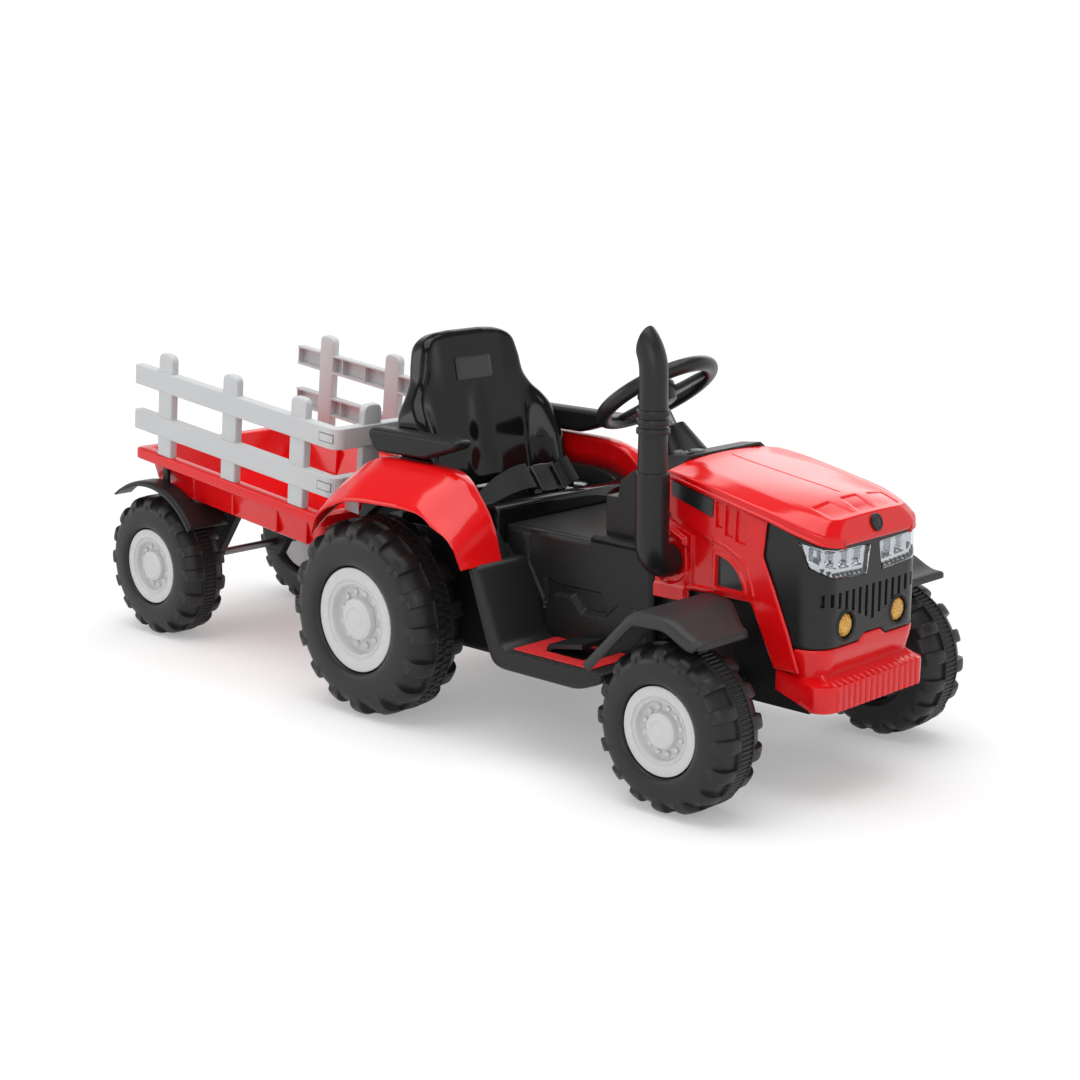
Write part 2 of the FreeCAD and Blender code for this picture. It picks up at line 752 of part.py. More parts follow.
# Steering column: everything on it is made about its own axis and leans back with it.
SHAFT_LENGTH = "((wheel_centre_z - tie_rod_z - crank_rise) / cos(column_lean_deg * 1deg) - hub_rise)"


def on_column(item, rise="0"):
    """Leans a piece back with the column and moves it along the column by rise from the wheel's centre."""
    lean = number("column_lean_deg")
    item.Placement = FreeCAD.Placement(FreeCAD.Vector(0, 0, 0),
            FreeCAD.Rotation(FreeCAD.Vector(0, 1, 0), -lean))
    tie(item, Placement__Base__x=f"rear_axle_x + wheelbase + wheel_centre_x - ({rise}) * sin(column_lean_deg * 1deg)",
        Placement__Base__z=f"wheel_centre_z + ({rise}) * cos(column_lean_deg * 1deg)")
    return item


SPOKE_SHARE = 0.385


def steering_wheel():
    ring = on_column(doc.addObject("Part::Torus", "wheel_rim"))
    tie(ring, Radius1="wheel_ring", Radius2="wheel_grip")
    hub = on_column(doc.addObject("Part::Cylinder", "wheel_hub_block"), "0 - hub_below")
    tie(hub, Radius="wheel_hub", Height="hub_below + hub_rise")
    items = [ring, hub]
    for index, angle_deg in enumerate((180.0, 60.0, -60.0)):
        spoke = new_body(f"spoke_{index}")
        pad(spoke, draw(spoke, "XY_Plane", [
            ("wheel_hub / 2", "0 - spoke_width / 2"), ("wheel_ring", f"0 - {SPOKE_SHARE} * spoke_width"),
            ("wheel_ring", f"{SPOKE_SHARE} * spoke_width"), ("wheel_hub / 2", "spoke_width / 2"),
        ]), "spoke_thick", "Symmetric")
        on_column(spoke)
        spin = FreeCAD.Rotation(FreeCAD.Vector(0, 0, 1), angle_deg)
        spoke.Placement.Rotation = spoke.Placement.Rotation.multiply(spin)
        items.append(spoke)
    well = on_column(doc.addObject("Part::Cylinder", "horn_well"), "hub_rise - horn_height")
    tie(well, Radius="horn_radius + seam", Height="horn_height + overrun")
    bore = on_column(doc.addObject("Part::Cylinder", "wheel_bore"), "0 - hub_below - overrun")
    tie(bore, Radius="shaft_radius + running", Height="overrun + hub_below - hub_rise")
    return without("steering_wheel_bored", joined("steering_wheel_ring", items),
            joined("wheel_holes", [well, bore]))


keep(steering_wheel(), "steering_wheel")

horn = on_column(doc.addObject("Part::Cylinder", "horn"), "hub_rise - horn_height + horn_travel + seam")
tie(horn, Radius="horn_radius", Height="horn_height")
keep(horn, "horn_button")


def steering_shaft():
    top = "0 - hub_rise"
    rod = on_column(doc.addObject("Part::Cylinder", "shaft_rod"), f"{top} - {SHAFT_LENGTH}")
    tie(rod, Radius="shaft_radius", Height=SHAFT_LENGTH)
    crank = new_body("crank")
    pad(crank, draw(crank, "XY_Plane", [
        ("0 - crank_length - crank_width / 2", "0 - crank_width / 2"),
        ("shaft_radius", "0 - crank_width / 2"),
        ("shaft_radius", "crank_width / 2"), ("0 - crank_length - crank_width / 2", "crank_width / 2"),
    ]), "steer_plate")
    on_column(crank, f"{top} - {SHAFT_LENGTH}")
    pin = doc.addObject("Part::Cylinder", "crank_pin")
    pin_low = f"{top} - {SHAFT_LENGTH} - crank_pin + steer_plate"
    on_column(pin, pin_low)
    tie(pin, Radius="steer_pin_radius", Height="crank_pin",
        Placement__Base__x=f"rear_axle_x + wheelbase + wheel_centre_x - ({pin_low}) * sin(column_lean_deg * 1deg)"
                           " - crank_length * cos(column_lean_deg * 1deg)",
        Placement__Base__z=f"wheel_centre_z + ({pin_low}) * cos(column_lean_deg * 1deg)"
                           " - crank_length * sin(column_lean_deg * 1deg)")
    return joined("steering_shaft_crank", [rod, crank, pin])


keep(steering_shaft(), "steering_shaft")


# Hood: a crowned shell lofted from the dash to the visor over the headlamps, open below.
HOOD_SHARES = (
    # forward share, then half-width and drop shares of the lower edge, shoulder, top edge and crown
    (0.00, 0.98, 0.30, 0.97, 0.22, 0.67, 0.035, 0.0),
    (0.34, 1.00, 0.49, 0.99, 0.37, 0.70, 0.14, 0.07),
    (0.67, 0.99, 0.69, 0.98, 0.56, 0.69, 0.30, 0.22),
    (0.88, 0.90, 0.90, 0.89, 0.77, 0.65, 0.51, 0.43),
    (1.00, 0.72, 1.00, 0.71, 0.85, 0.57, 0.66, 0.59),
)


def hood_section(body, row, inset):
    """One cross-section of the hood; an inset one is moved in by the wall and runs below the edge."""
    forward, low_w, low_z, side_w, side_z, top_w, top_z, crown_z = row
    span = "(hood_front - hood_rear)"
    less = "- wall" if inset else ""
    under = "- overrun" if inset else ""

    def height(share, extra=""):
        return f"hood_top - {share} * hood_drop {extra}"

    right = [(f"0 - ({low_w} * hood_half {less})", height(low_z, under)),
             (f"0 - ({side_w} * hood_half {less})", height(side_z)),
             (f"0 - ({top_w} * hood_half {less})", height(top_z, less)),
             ("0", height(crown_z, less))]
    left = [(text[2:].lstrip("- "), rise) for text, rise in reversed(right[:3])]
    place = f"{ahead('hood_rear')} + {forward} * {span}"
    if inset and forward == HOOD_SHARES[0][0]:
        place = f"{ahead('hood_rear')} - overrun"
    if inset and forward == HOOD_SHARES[-1][0]:
        place = f"{place} - wall"
    return draw(body, "YZ_Plane", right + left, place)


def hood():
    body = new_body("hood_shell")
    loft(body, [hood_section(body, row, False) for row in HOOD_SHARES], ruled=True)
    loft(body, [hood_section(body, row, True) for row in HOOD_SHARES], "SubtractiveLoft", ruled=True)
    return body


keep(hood(), "hood")

# Nose cap: a plain round cap on the middle of the visor.
CAP_TURN = (0, 1, 0)
CAP_SHARE = 0.80
keep(solid("Cylinder", "cap_disc", (ahead("hood_front"), "0", f"hood_top - {CAP_SHARE} * hood_drop"),
        CAP_TURN, 90,
           Radius="nose_cap_radius", Height="nose_cap_height"), "nose_cap")

# Side panels: the red cheek under the hood's edge with a quarter window, a raised rear box for the exhaust
# and a strip that runs down and forward to the bumper.
SIDE_SHARES = (
    (0.116, 0.9985), (0.116, 0.648), (0.0, 0.471), (0.0, 0.275), (0.27, 0.275), (0.27, 0.353), (0.672, 0.353),
    (0.829, 0.0), (1.0, 0.0), (0.922, 0.219), (0.823, 0.467), (0.75, 0.633), (0.772, 0.845), (0.459, 0.9218),
)
WINDOW_SHARES = ((0.453, 0.394), (0.642, 0.394), (0.590, 0.519), (0.453, 0.590))
BOX_SHARES = ((0.0, 0.275), (0.27, 0.275), (0.25, 0.667), (0.116, 0.648), (0.0, 0.471))


def side_outline(body, shares, offset):
    return draw(body, "XZ_Plane", shared(shares, ahead("side_rear"), "(side_front - side_rear)", "side_low",
                                         "(side_top - side_low)"), offset)


def side_panel():
    body = new_body("cheek")
    pad(body, side_outline(body, SIDE_SHARES, "side_y"), "side_thick")
    pad(body, side_outline(body, BOX_SHARES, "side_y"), "side_thick + box_depth")
    pocket(body, side_outline(body, WINDOW_SHARES, "side_y - overrun"),
            "side_thick + box_depth + 2 * overrun")
    return body


keep(side_panel(), "side_panel_right")
mirror("side_panel_left", pieces["side_panel_right"])

WINDOW_GLASS_SHARES = ((0.443, 0.380), (0.652, 0.380), (0.605, 0.539), (0.443, 0.610))


def side_window():
    body = new_body("quarter_window")
    pad(body, side_outline(body, WINDOW_GLASS_SHARES, "side_y - seam - wall"), "wall")
    return body


keep(mirrored_pair("quarter_window_pair", side_window()), "side_windows")


# Grille panel: a dark wrap-round front, with openings for the headlamps and the fog lamps.
def wrap_points(out):
    """Plan of the wrapped front, moved outwards by out: straight sides, round corners and a straight face."""
    rear = ahead("grille_rear")
    front = f"({ahead('grille_front')} + {out})"
    half = f"(grille_half + {out})"
    corner = f"(grille_corner + {out})"
    return [(rear, f"0 - {half}"), (f"{front} - {corner}", f"0 - {half}", (corner, 1)),
            (front, f"0 - {half} + {corner}"), (front, f"{half} - {corner}", (corner, 1)),
            (f"{front} - {corner}", half), (rear, half)]


def wrap_block(name, out, low, rise):
    body = new_body(name)
    pad(body, draw(body, "XY_Plane", wrap_points(out), low), rise)
    return body


def wrap_band(name, outer, inner, low, rise):
    """A band that follows the wrapped front between two offsets."""
    return without(name, wrap_block(f"{name}_outer", outer, low, rise),
                   wrap_block(f"{name}_inner", inner, f"{low} - overrun", f"{rise} + 2 * overrun"))


def lamp_window(name, gap):
    """The headlamps' window on both sides: a prism along the tractor, made smaller by gap."""
    right = new_body(name)
    outer = "(2 * grille_half)"
    spread = "(2 * grille_half - lamp_inner_y) / (grille_half - lamp_inner_y)"
    pad(right, draw(right, "YZ_Plane", [
        (f"0 - lamp_inner_y - {gap}", f"lamp_low + {gap}"),
        (f"0 - lamp_inner_y - {gap}", f"lamp_top - {gap}"),
        (f"0 - {outer}", f"lamp_top + (lamp_outer_top - lamp_top) * {spread} - {gap}"),
        (f"0 - {outer}", f"lamp_low + (lamp_outer_low - lamp_low) * {spread} + {gap}"),
    ], f"{ahead('lamp_rear')} + {gap}"), "grille_half")
    return mirrored_pair(f"{name}_pair", right)


def fog_rods(name, radius, start, length):
    rods = []
    for side, hand in (("right", "0 - fog_y"), ("left", "fog_y")):
        rods.append(solid("Cylinder", f"{name}_{side}", (start, hand, "fog_z"), CAP_TURN, 90,
                          Radius=radius, Height=length))
    return rods


FOG_SHARE = 0.75
HOOD_EDGE_SHARES = ((0.50, 0.530), (1.06, 1.056))


def grille_panel():
    shell = wrap_band("grille_shell", "0", "0 - wall", "grille_low", "grille_top - grille_low")
    slope = new_body("grille_slope")
    edge = shared(HOOD_EDGE_SHARES, ahead("hood_rear"), "(hood_front - hood_rear)", "hood_top - 4 * seam",
            "(0 - hood_drop)")
    pad(slope, draw(slope, "XZ_Plane", edge + [(edge[1][0], "hood_top"), (edge[0][0], "hood_top")]),
        "4 * grille_half", "Symmetric")
    holes = [slope, lamp_window("lamp_hole", "0")]
    holes += fog_rods("fog_hole", "fog_radius + seam", f"{ahead('grille_front')} - 3 * fog_depth",
            "4 * fog_depth")
    return without("grille_cut", shell, joined("grille_holes", holes))


keep(grille_panel(), "grille_panel")


def lens_pair(name, outer, inner):
    band = wrap_band(f"{name}_band", outer, inner, "lamp_low - overrun",
            "lamp_outer_top - lamp_low + 2 * overrun")
    item = doc.addObject("Part::Common", f"{name}_pair")
    item.Base = band
    item.Tool = lamp_window(f"{name}_window", "seam")
    return item


keep(lens_pair("lens", "0", "0 - lens_thick"), "headlamp_lenses")
keep(lens_pair("reflector", "0 - wall - seam", "0 - 2 * wall - seam"), "headlamp_reflectors")
keep(group("fog_pair", fog_rods("fog", "fog_radius", f"{ahead('grille_front')} - {FOG_SHARE} * fog_depth",
        "fog_depth")),
     "fog_lamps")


# Bumper: the red step across the nose, with an apron up to the grille and arms back to the skirt.
BUMPER_SHARES = (
    (0.0, 0.25), (0.50, 0.0), (1.0, 0.02), (1.0, 0.42), (0.94, 0.51), (0.76, 0.55), (0.70, 0.985),
    (0.46, 0.985),
    (0.46, 0.58), (0.0, 0.58),
)


def bumper():
    body = new_body("bumper_side")
    rear = ahead("bumper_rear")
    span = "(bumper_front - bumper_rear)"
    pad(body, draw(body, "XZ_Plane", shared(BUMPER_SHARES, rear, span, "bumper_low",
            "(bumper_top - bumper_low)")),
        "2 * bumper_half", "Symmetric")
    plan = new_body("bumper_plan")
    front = ahead("bumper_front")
    bend = f"{front} - 2 * (bumper_half - bumper_nose_half)"
    back = f"{rear} - overrun"
    inner = "(nose_half + seam)"
    behind = f"({ahead('nose_front')} + seam)"
    pad(plan, draw(plan, "XY_Plane", [
        (back, "0 - bumper_half"), (bend, "0 - bumper_half"), (front, "0 - bumper_nose_half"),
        (front, "bumper_nose_half"), (bend, "bumper_half"), (back, "bumper_half"), (back, inner),
        (behind, inner),
        (behind, f"0 - {inner}"), (back, f"0 - {inner}"),
    ], "bumper_low - overrun"), "bumper_top")
    item = doc.addObject("Part::Common", "bumper_block")
    item.Base = body
    item.Tool = plan
    return item


keep(bumper(), "bumper")


# Dash: a stepped console between the hood and the tunnel, with wells for the button, switch and column.
DASH_SHARES = ((0.0, 0.0), (1.0, 0.0), (1.0, 1.0), (0.66, 0.955), (0.22, 0.655), (0.18, 0.45), (0.0, 0.45))
DASH_HOLLOW_SHARES = ((0.03, -0.10), (1.10, -0.10), (1.10, 0.97), (0.67, 0.925), (0.25, 0.637), (0.21, 0.42),
        (0.03, 0.42))
DECK_FALL_SHARE = 0.045
DECK_SHARE = 0.34
BORE_SHARE = 0.8


def dash_slope(x_text):
    """Height of the dash's top face at a place along the tractor."""
    fall = f"{DECK_FALL_SHARE} * (dash_top - tunnel_top) / ({DECK_SHARE} * (hood_rear - dash_rear))"
    return f"(dash_top - (hood_rear - {x_text}) * {fall})"


def dash_panel():
    body = new_body("dash")
    rear = ahead("dash_rear")
    span = "(hood_rear - seam - dash_rear)"
    rise = "(dash_top - tunnel_top)"
    pad(body, draw(body, "XZ_Plane", shared(DASH_SHARES, rear, span, "tunnel_top", rise)), "2 * dash_half",
            "Symmetric")
    pocket(body, draw(body, "XZ_Plane", shared(DASH_HOLLOW_SHARES, rear, span, "tunnel_top", rise)),
           "2 * (dash_deck_half - wall)", "Symmetric")
    for hand in ("0 -", ""):
        side = f"{hand} (dash_half + overrun)"
        pocket(body, draw(body, "YZ_Plane", [
            (f"{hand} dash_half", "dash_shoulder"), (side, "dash_shoulder"), (side, "dash_top + overrun"),
            (f"{hand} dash_deck_half", "dash_top + overrun"), (f"{hand} dash_deck_half", "dash_top"),
        ]), "4 * wheelbase", "Symmetric")
    column = on_column(doc.addObject("Part::Cylinder", "dash_bore"), f"0 - {BORE_SHARE} * {SHAFT_LENGTH}")
    tie(column, Radius="boot_neck", Height=f"{BORE_SHARE} * {SHAFT_LENGTH}")
    well = solid("Cylinder", "button_well", (ahead("button_x"), "0 - button_y",
            "dash_top - 3 * button_height"),
                 Radius="button_radius + seam", Height="5 * button_height")
    slot = solid("Box", "switch_slot", (f"{ahead('button_x')} - switch_length / 2 - switch_play",
                                        "0 - button_y - 2.5 * switch_width - seam",
                                        "dash_top - 3 * switch_height"),
                 Length="switch_length + 2 * switch_play", Width="switch_width + 2 * seam",
                 Height="5 * switch_height")
    return without("dash_bored", body, joined("dash_holes", [column, well, slot]))


keep(dash_panel(), "dash_panel")

keep(solid("Cylinder", "start_disc", (ahead("button_x"), "0 - button_y",
        f"{dash_slope('button_x')} - button_height"),
           Radius="button_radius", Height="button_height + button_travel + seam"), "start_button")

ROCKER_SHARE = 0.385
switch = new_body("rocker")
switch_top = f"({dash_slope('button_x')})"
pad(switch, draw(switch, "XZ_Plane", [
    (f"{ahead('button_x')} - switch_length / 2", f"{switch_top} + switch_height / 2"),
    (f"{ahead('button_x')} - {ROCKER_SHARE} * switch_length", f"{switch_top} - switch_height / 2"),
    (f"{ahead('button_x')} + {ROCKER_SHARE} * switch_length", f"{switch_top} - switch_height / 2"),
    (f"{ahead('button_x')} + switch_length / 2", f"{switch_top} + switch_height / 2"),
    (ahead("button_x"), f"{switch_top} + switch_height / 4"),
], "button_y + 1.5 * switch_width"), "switch_width")
barrel = solid("Cylinder", "rocker_barrel", (ahead("button_x"), "0 - button_y - 1.5 * switch_width",
        switch_top), AXLE_TURN, 90,
               Radius="switch_height / 2", Height="switch_width")
keep(joined("rocker_on_barrel", [switch, barrel]), "direction_switch")


# Column boot: the dark cone where the column enters the dash.
BOOT_SHARE = 0.85


def column_boot():
    along_column = f"0 - {BOOT_SHARE} * (wheel_centre_z - dash_top) - boot_height"
    cone = on_column(doc.addObject("Part::Cone", "boot_cone"), along_column)
    tie(cone, Radius1="boot_radius", Radius2="boot_neck", Height="boot_height")
    bore = on_column(doc.addObject("Part::Cylinder", "boot_bore"), f"{along_column} - overrun")
    tie(bore, Radius="shaft_radius + running", Height="boot_height + 2 * overrun")
    under = new_body("boot_under")
    span = "(hood_rear - seam - dash_rear)"
    pad(under, draw(under, "XZ_Plane", shared(DASH_SHARES, ahead("dash_rear"), span, "tunnel_top",
                                             "(dash_top - tunnel_top)")), "2 * dash_half", "Symmetric")
    return without("boot_trimmed", cone, joined("boot_cuts", [bore, under]))


keep(column_boot(), "column_boot")


# Exhaust: a dummy stack that leaves the side panel's box, turns up and leans back at its tip.
def exhaust():
    x_place = ahead("stack_x")
    y_place = "0 - stack_y"
    wall_y = "0 - (side_y + side_thick + box_depth)"
    foot = solid("Cylinder", "stack_foot", (x_place, wall_y, "stack_elbow_z"), AXLE_TURN, 90,
                 Radius="stack_low_radius", Height="stack_y - stack_bend - side_y - side_thick - box_depth")
    elbow = solid("Torus", "stack_elbow", (x_place, "0 - stack_y + stack_bend", "stack_elbow_z + stack_bend"),
                  (0, 1, 0), 90, Radius1="stack_bend", Radius2="stack_low_radius", Angle3="90")
    elbow.Placement.Rotation = FreeCAD.Rotation(FreeCAD.Vector(1, 1, 1), 120).multiply(
        FreeCAD.Rotation(FreeCAD.Vector(0, 0, 1), 180))
    items = [foot, elbow]
    items.append(solid("Cylinder", "stack_low", (x_place, y_place, "stack_elbow_z + stack_bend"),
                       Radius="stack_low_radius", Height="stack_seam_z - stack_elbow_z - stack_bend"))
    items.append(solid("Cylinder", "stack_high", (x_place, y_place, "stack_seam_z"),
                       Radius="stack_radius", Height="stack_bend_z - stack_seam_z"))
    for index in range(-1, 2):
        items.append(solid("Cylinder", f"stack_ring_{index + 1}",
                           (x_place, y_place,
                           f"stack_ring_z + {index} * stack_ring_pitch - stack_ring_height / 2"),
                           Radius="stack_ring_radius", Height="stack_ring_height"))
    bend = solid("Torus", "stack_tip_elbow", (f"{x_place} - stack_tip_bend", y_place, "stack_bend_z"),
            (1, 0, 0), 90,
                 Radius1="stack_tip_bend", Radius2="stack_radius", Angle3="stack_tip_deg")
    items.append(bend)
    tip = solid("Cylinder", "stack_tip",
                (f"{x_place} - stack_tip_bend * (1 - cos(stack_tip_deg * 1deg))", y_place,
                 "stack_bend_z + stack_tip_bend * sin(stack_tip_deg * 1deg)"),
                (0, 1, 0), -number("stack_tip_deg"), Radius="stack_radius", Height="stack_tip_run")
    items.append(tip)
    return joined("stack", items)


keep(exhaust(), "exhaust_stack")


# Seat: a pan that covers the bay, and a reclined back with a bolster down each side.
PAN_SHARES = (
    (0.0, 0.0), (1.0, 0.0), (1.0, 0.93), (0.97, 1.0), (0.92, 0.98), (0.84, 0.705), (0.53, 0.66), (0.46, 0.71),
    (0.30, 0.71), (0.29, 0.16), (0.0, 0.16),
)
PAN_HOLLOW_SHARES = ((0.31, -0.20), (0.98, -0.20), (0.98, 0.58), (0.31, 0.58))
BELT_SHARE = 0.71


def seat_pan():
    body = new_body("pan")
    rear = along("tub_rear")
    span = "(seat_front - tub_rear)"
    rise = "(seat_lip - bay_top)"
    pad(body, draw(body, "XZ_Plane", shared(PAN_SHARES, rear, span, "bay_top", rise)), "2 * seat_half",
            "Symmetric")
    pocket(body, draw(body, "XZ_Plane", shared(PAN_HOLLOW_SHARES, rear, span, "bay_top", rise)),
           "2 * (seat_half - wall)", "Symmetric")
    return body


keep(seat_pan(), "seat_pan")


def lean_back(item):
    """Stands a piece that was drawn upright at the seat back's foot and leans it back."""
    lean = number("back_lean_deg")
    item.Placement = FreeCAD.Placement(FreeCAD.Vector(0, 0, 0),
            FreeCAD.Rotation(FreeCAD.Vector(0, 1, 0), -lean))
    tie(item, Placement__Base__x=along("back_foot_x"), Placement__Base__z="back_foot_z")
    return item


BACK_SHARES = {"shoulder": 0.70, "corner": 0.30, "waist": 0.80, "hip_rise": 0.46, "waist_rise": 0.64}
BOLSTER_SHARES = ((0.0, 1.0), (0.26, 0.86), (0.50, 0.06))


def back_outline(body, inset, offset):
    """The back's front view: waisted sides and a round top, moved in by inset."""
    half = f"(seat_half - {inset})"
    height = f"(back_height - {inset})"
    shoulder = f"{BACK_SHARES['shoulder']} * {half}"
    corner = f"{BACK_SHARES['corner']} * {half}"
    waist = f"{BACK_SHARES['waist']} * {half}"
    hip = f"{BACK_SHARES['hip_rise']} * {height}"
    neck = f"{BACK_SHARES['waist_rise']} * {height}"
    right = [(f"0 - {half}", inset), (f"0 - {half}", hip), (f"0 - {waist}", neck),
             (f"0 - {shoulder}", f"{height} - {corner}", (corner, -1)),
             (f"0 - {shoulder} + {corner}", height)]
    left = [(f"{shoulder} - {corner}", height, (corner, -1)), (shoulder, f"{height} - {corner}"),
            (waist, neck), (half, hip), (half, inset)]
    return draw(body, "YZ_Plane", right + left, offset)


def seat_back():
    body = lean_back(new_body("back"))
    pad(body, back_outline(body, "0", "0 - back_thick"), "back_thick")
    pocket(body, back_outline(body, "wall", "0 - back_thick - overrun"), "back_thick - wall + overrun")
    items = [body]
    for side, hand in (("right", -1), ("left", 1)):
        bolster = lean_back(new_body(f"bolster_{side}"))
        foot = "0 - seat_half" if hand < 0 else "seat_half"
        inner = "0 - seat_half + bolster_width" if hand < 0 else "seat_half - bolster_width"
        sections = []
        for up_share, depth_share in BOLSTER_SHARES:
            plane = draw(bolster, "XY_Plane", [
                ("0 - wall", foot), (f"{depth_share} * bolster_depth", foot),
                (f"{depth_share} * bolster_depth", f"({foot} + {inner}) / 2"), ("0 - wall", inner),
            ], f"{up_share} * back_height")
            sections.append(plane)
        loft(bolster, sections)
        items.append(bolster)
    holes = []
    pivot = (along("rest_rear + pivot_back"), "(rest_low + rest_top) / 2")
    for side, start in (("right", "0 - rest_inner + pivot_depth"), ("left", "rest_inner + overrun")):
        holes.append(solid("Cylinder", f"pivot_bore_{side}", (pivot[0], start, pivot[1]), AXLE_TURN, 90,
                           Radius="pivot_radius + running", Height="pivot_depth + overrun"))
    return without("back_bored", joined("back_shell", items), joined("back_holes", holes))


keep(seat_back(), "seat_back")


# Armrests: each turns up on a round pivot in the side of the seat back.
REST_SHARES = ((0.0, 0.60), (0.07, 0.0), (0.62, 0.0), (0.97, 0.62), (1.0, 0.90), (0.97, 1.0), (0.03, 1.0),
        (0.0, 0.92))


def armrest():
    body = new_body("rest")
    pad(body, draw(body, "XZ_Plane", shared(REST_SHARES, along("rest_rear"), "(rest_front - rest_rear)",
            "rest_low",
                                            "(rest_top - rest_low)"), "rest_inner"),
                                            "rest_outer - rest_inner")
    pivot = solid("Cylinder", "rest_pivot", (along("rest_rear + pivot_back"), "0 - rest_inner + pivot_depth",
                                             "(rest_low + rest_top) / 2"), AXLE_TURN, 90,
                  Radius="pivot_radius", Height="pivot_depth + wall")
    return joined("rest_with_pivot", [body, pivot])


keep(armrest(), "armrest_right")
mirror("armrest_left", pieces["armrest_right"])


# Seat belt: two flat webs across the pan, joined by a side-release buckle.
BELT_LEVEL = f"(bay_top + {BELT_SHARE} * (seat_lip - bay_top))"


def belt_run():
    start = "0 - seat_half + bolster_width"
    return solid("Box", "belt_strip", (f"{along('belt_x')} - belt_width / 2", start, BELT_LEVEL),
                 Length="belt_width", Width="seat_half - bolster_width - buckle_length / 2 - seam",
                 Height="belt_thick")


keep(mirrored_pair("belt_pair", belt_run()), "seat_belt_webs")
keep(solid("Box", "buckle_block", (f"{along('belt_x')} - buckle_width / 2", "0 - buckle_length / 2",
        BELT_LEVEL),
           Length="buckle_width", Width="buckle_length", Height="buckle_thick"), "belt_buckle")

# Rear fenders: crowned arches from beside the seat out over the tyres, standing on the boards' rear posts.
CROWN_SHARES = ((0.0, 0.0), (0.30, 0.12), (0.68, 0.50), (1.0, 1.0))


def rear_fender():
    body = new_body("arch")
    loft(body, [arch_outline(body, f"fender_inner + {across} * (fender_outer - fender_inner)",
            f"{drop} * fender_drop")
                for across, drop in CROWN_SHARES])
    return body


keep(rear_fender(), "rear_fender_right")
mirror("rear_fender_left", pieces["rear_fender_right"])

# Front fenders: bent plates over the front tyres, on a shelf from the subframe.
GUARD_SHARES = ((0.0, 0.0), (0.40, 0.98), (0.72, 1.0), (0.90, 0.77), (1.0, 0.75), (1.0, 0.63))
GUARD_UNDER_SHARES = ((0.985, 0.63), (0.985, 0.70), (0.885, 0.72), (0.71, 0.95), (0.41, 0.93), (0.025, 0.0))


SHELF_SHARE = 0.44


def front_fender():
    body = new_body("guard")
    start = ahead("guard_rear")
    span = "(guard_front - guard_rear)"
    rise = "(guard_top - guard_low)"
    points = shared(GUARD_SHARES + GUARD_UNDER_SHARES, start, span, "guard_low", rise)
    pad(body, draw(body, "XZ_Plane", points, "guard_inner"), "guard_outer - guard_inner")
    shelf = solid("Box", "guard_bracket", (f"{start} + {SHELF_SHARE} * {span}", "0 - guard_inner - wall",
                                           "guard_top - 2 * guard_thick"),
                  Length="guard_shelf", Width="guard_inner + wall - nose_half - seam", Height="guard_thick")
    return joined("guard_on_shelf", [body, shelf])


keep(front_fender(), "front_fender_right")
mirror("front_fender_left", pieces["front_fender_right"])


# Foot mats: thin red treads on the running boards; the right one is cut away round the pedal.
MAT_SHARES = (0.32, 0.90)
PEDAL_SHARE = 0.62


def on_board(share):
    """A place along a running board, as a share of its length."""
    return f"({along('board_rear')} + {share} * {BOARD_SPAN})"


PEDAL_REAR = f"({on_board(PEDAL_SHARE)} - pedal_length / 2)"


def foot_mats():
    mats = []
    for side, start in (("right", "0 - mat_outer"), ("left", "mat_inner")):
        mats.append(solid("Box", f"mat_{side}", (on_board(MAT_SHARES[0]), start, BOARD_TOP),
                          Length=f"{MAT_SHARES[1] - MAT_SHARES[0]} * {BOARD_SPAN}",
                          Width="mat_outer - mat_inner", Height="mat_thick"))
    hole = solid("Box", "mat_hole", (f"{PEDAL_REAR} - pedal_barrel - pedal_margin",
                                     "0 - pedal_y - pedal_width / 2 - pedal_margin",
                                     f"{BOARD_TOP} - overrun"),
                 Length="pedal_length + pedal_barrel + 2 * pedal_margin",
                 Width="pedal_width + 2 * pedal_margin",
                 Height="3 * overrun")
    return group("mats", [without("mat_cut", mats[0], hole), mats[1]])


keep(foot_mats(), "foot_mats")


# Accelerator pedal: a sprung wedge on the right board, hinged at its heel.
def accelerator_pedal():
    heel = f"{BOARD_TOP} + pedal_barrel + seam"
    side = "0 - pedal_y - pedal_width / 2"
    plate = solid("Box", "pedal_plate", (PEDAL_REAR, side, heel), (0, 1, 0), -SIZES["pedal_slope_deg"],
                  Length="pedal_length", Width="pedal_width", Height="pedal_thick")
    barrel = solid("Cylinder", "pedal_heel", (PEDAL_REAR, "0 - pedal_y + pedal_width / 2", heel),
                   AXLE_TURN, 90, Radius="pedal_barrel", Height="pedal_width")
    return joined("pedal", [plate, barrel])


keep(accelerator_pedal(), "accelerator_pedal")


# Tow hitch: a plate on the tub's rear wall with a tongue and an upright pin.
HITCH_SHARE = 1.4


def tow_hitch():
    plate = solid("Box", "hitch_plate_block", (f"{along('tub_rear')} - hitch_plate", "0 - hitch_width / 2",
                                               "hitch_z - hitch_width"),
                  Length="hitch_plate", Width="hitch_width", Height=f"{HITCH_SHARE} * hitch_width")
    tongue = solid("Box", "hitch_tongue", (f"{along('hitch_x')} - 2 * hitch_pin_radius",
            "0 - hitch_width / 2",
                                           "hitch_z - hitch_plate"),
                   Length="tub_rear - hitch_x + 2 * hitch_pin_radius", Width="hitch_width",
                   Height="hitch_plate")
    pin = solid("Cylinder", "hitch_pin", (along("hitch_x"), "0", "hitch_z - hitch_plate"),
                Radius="hitch_pin_radius", Height="hitch_pin_length")
    return joined("hitch", [plate, tongue, pin])


keep(tow_hitch(), "tow_hitch")


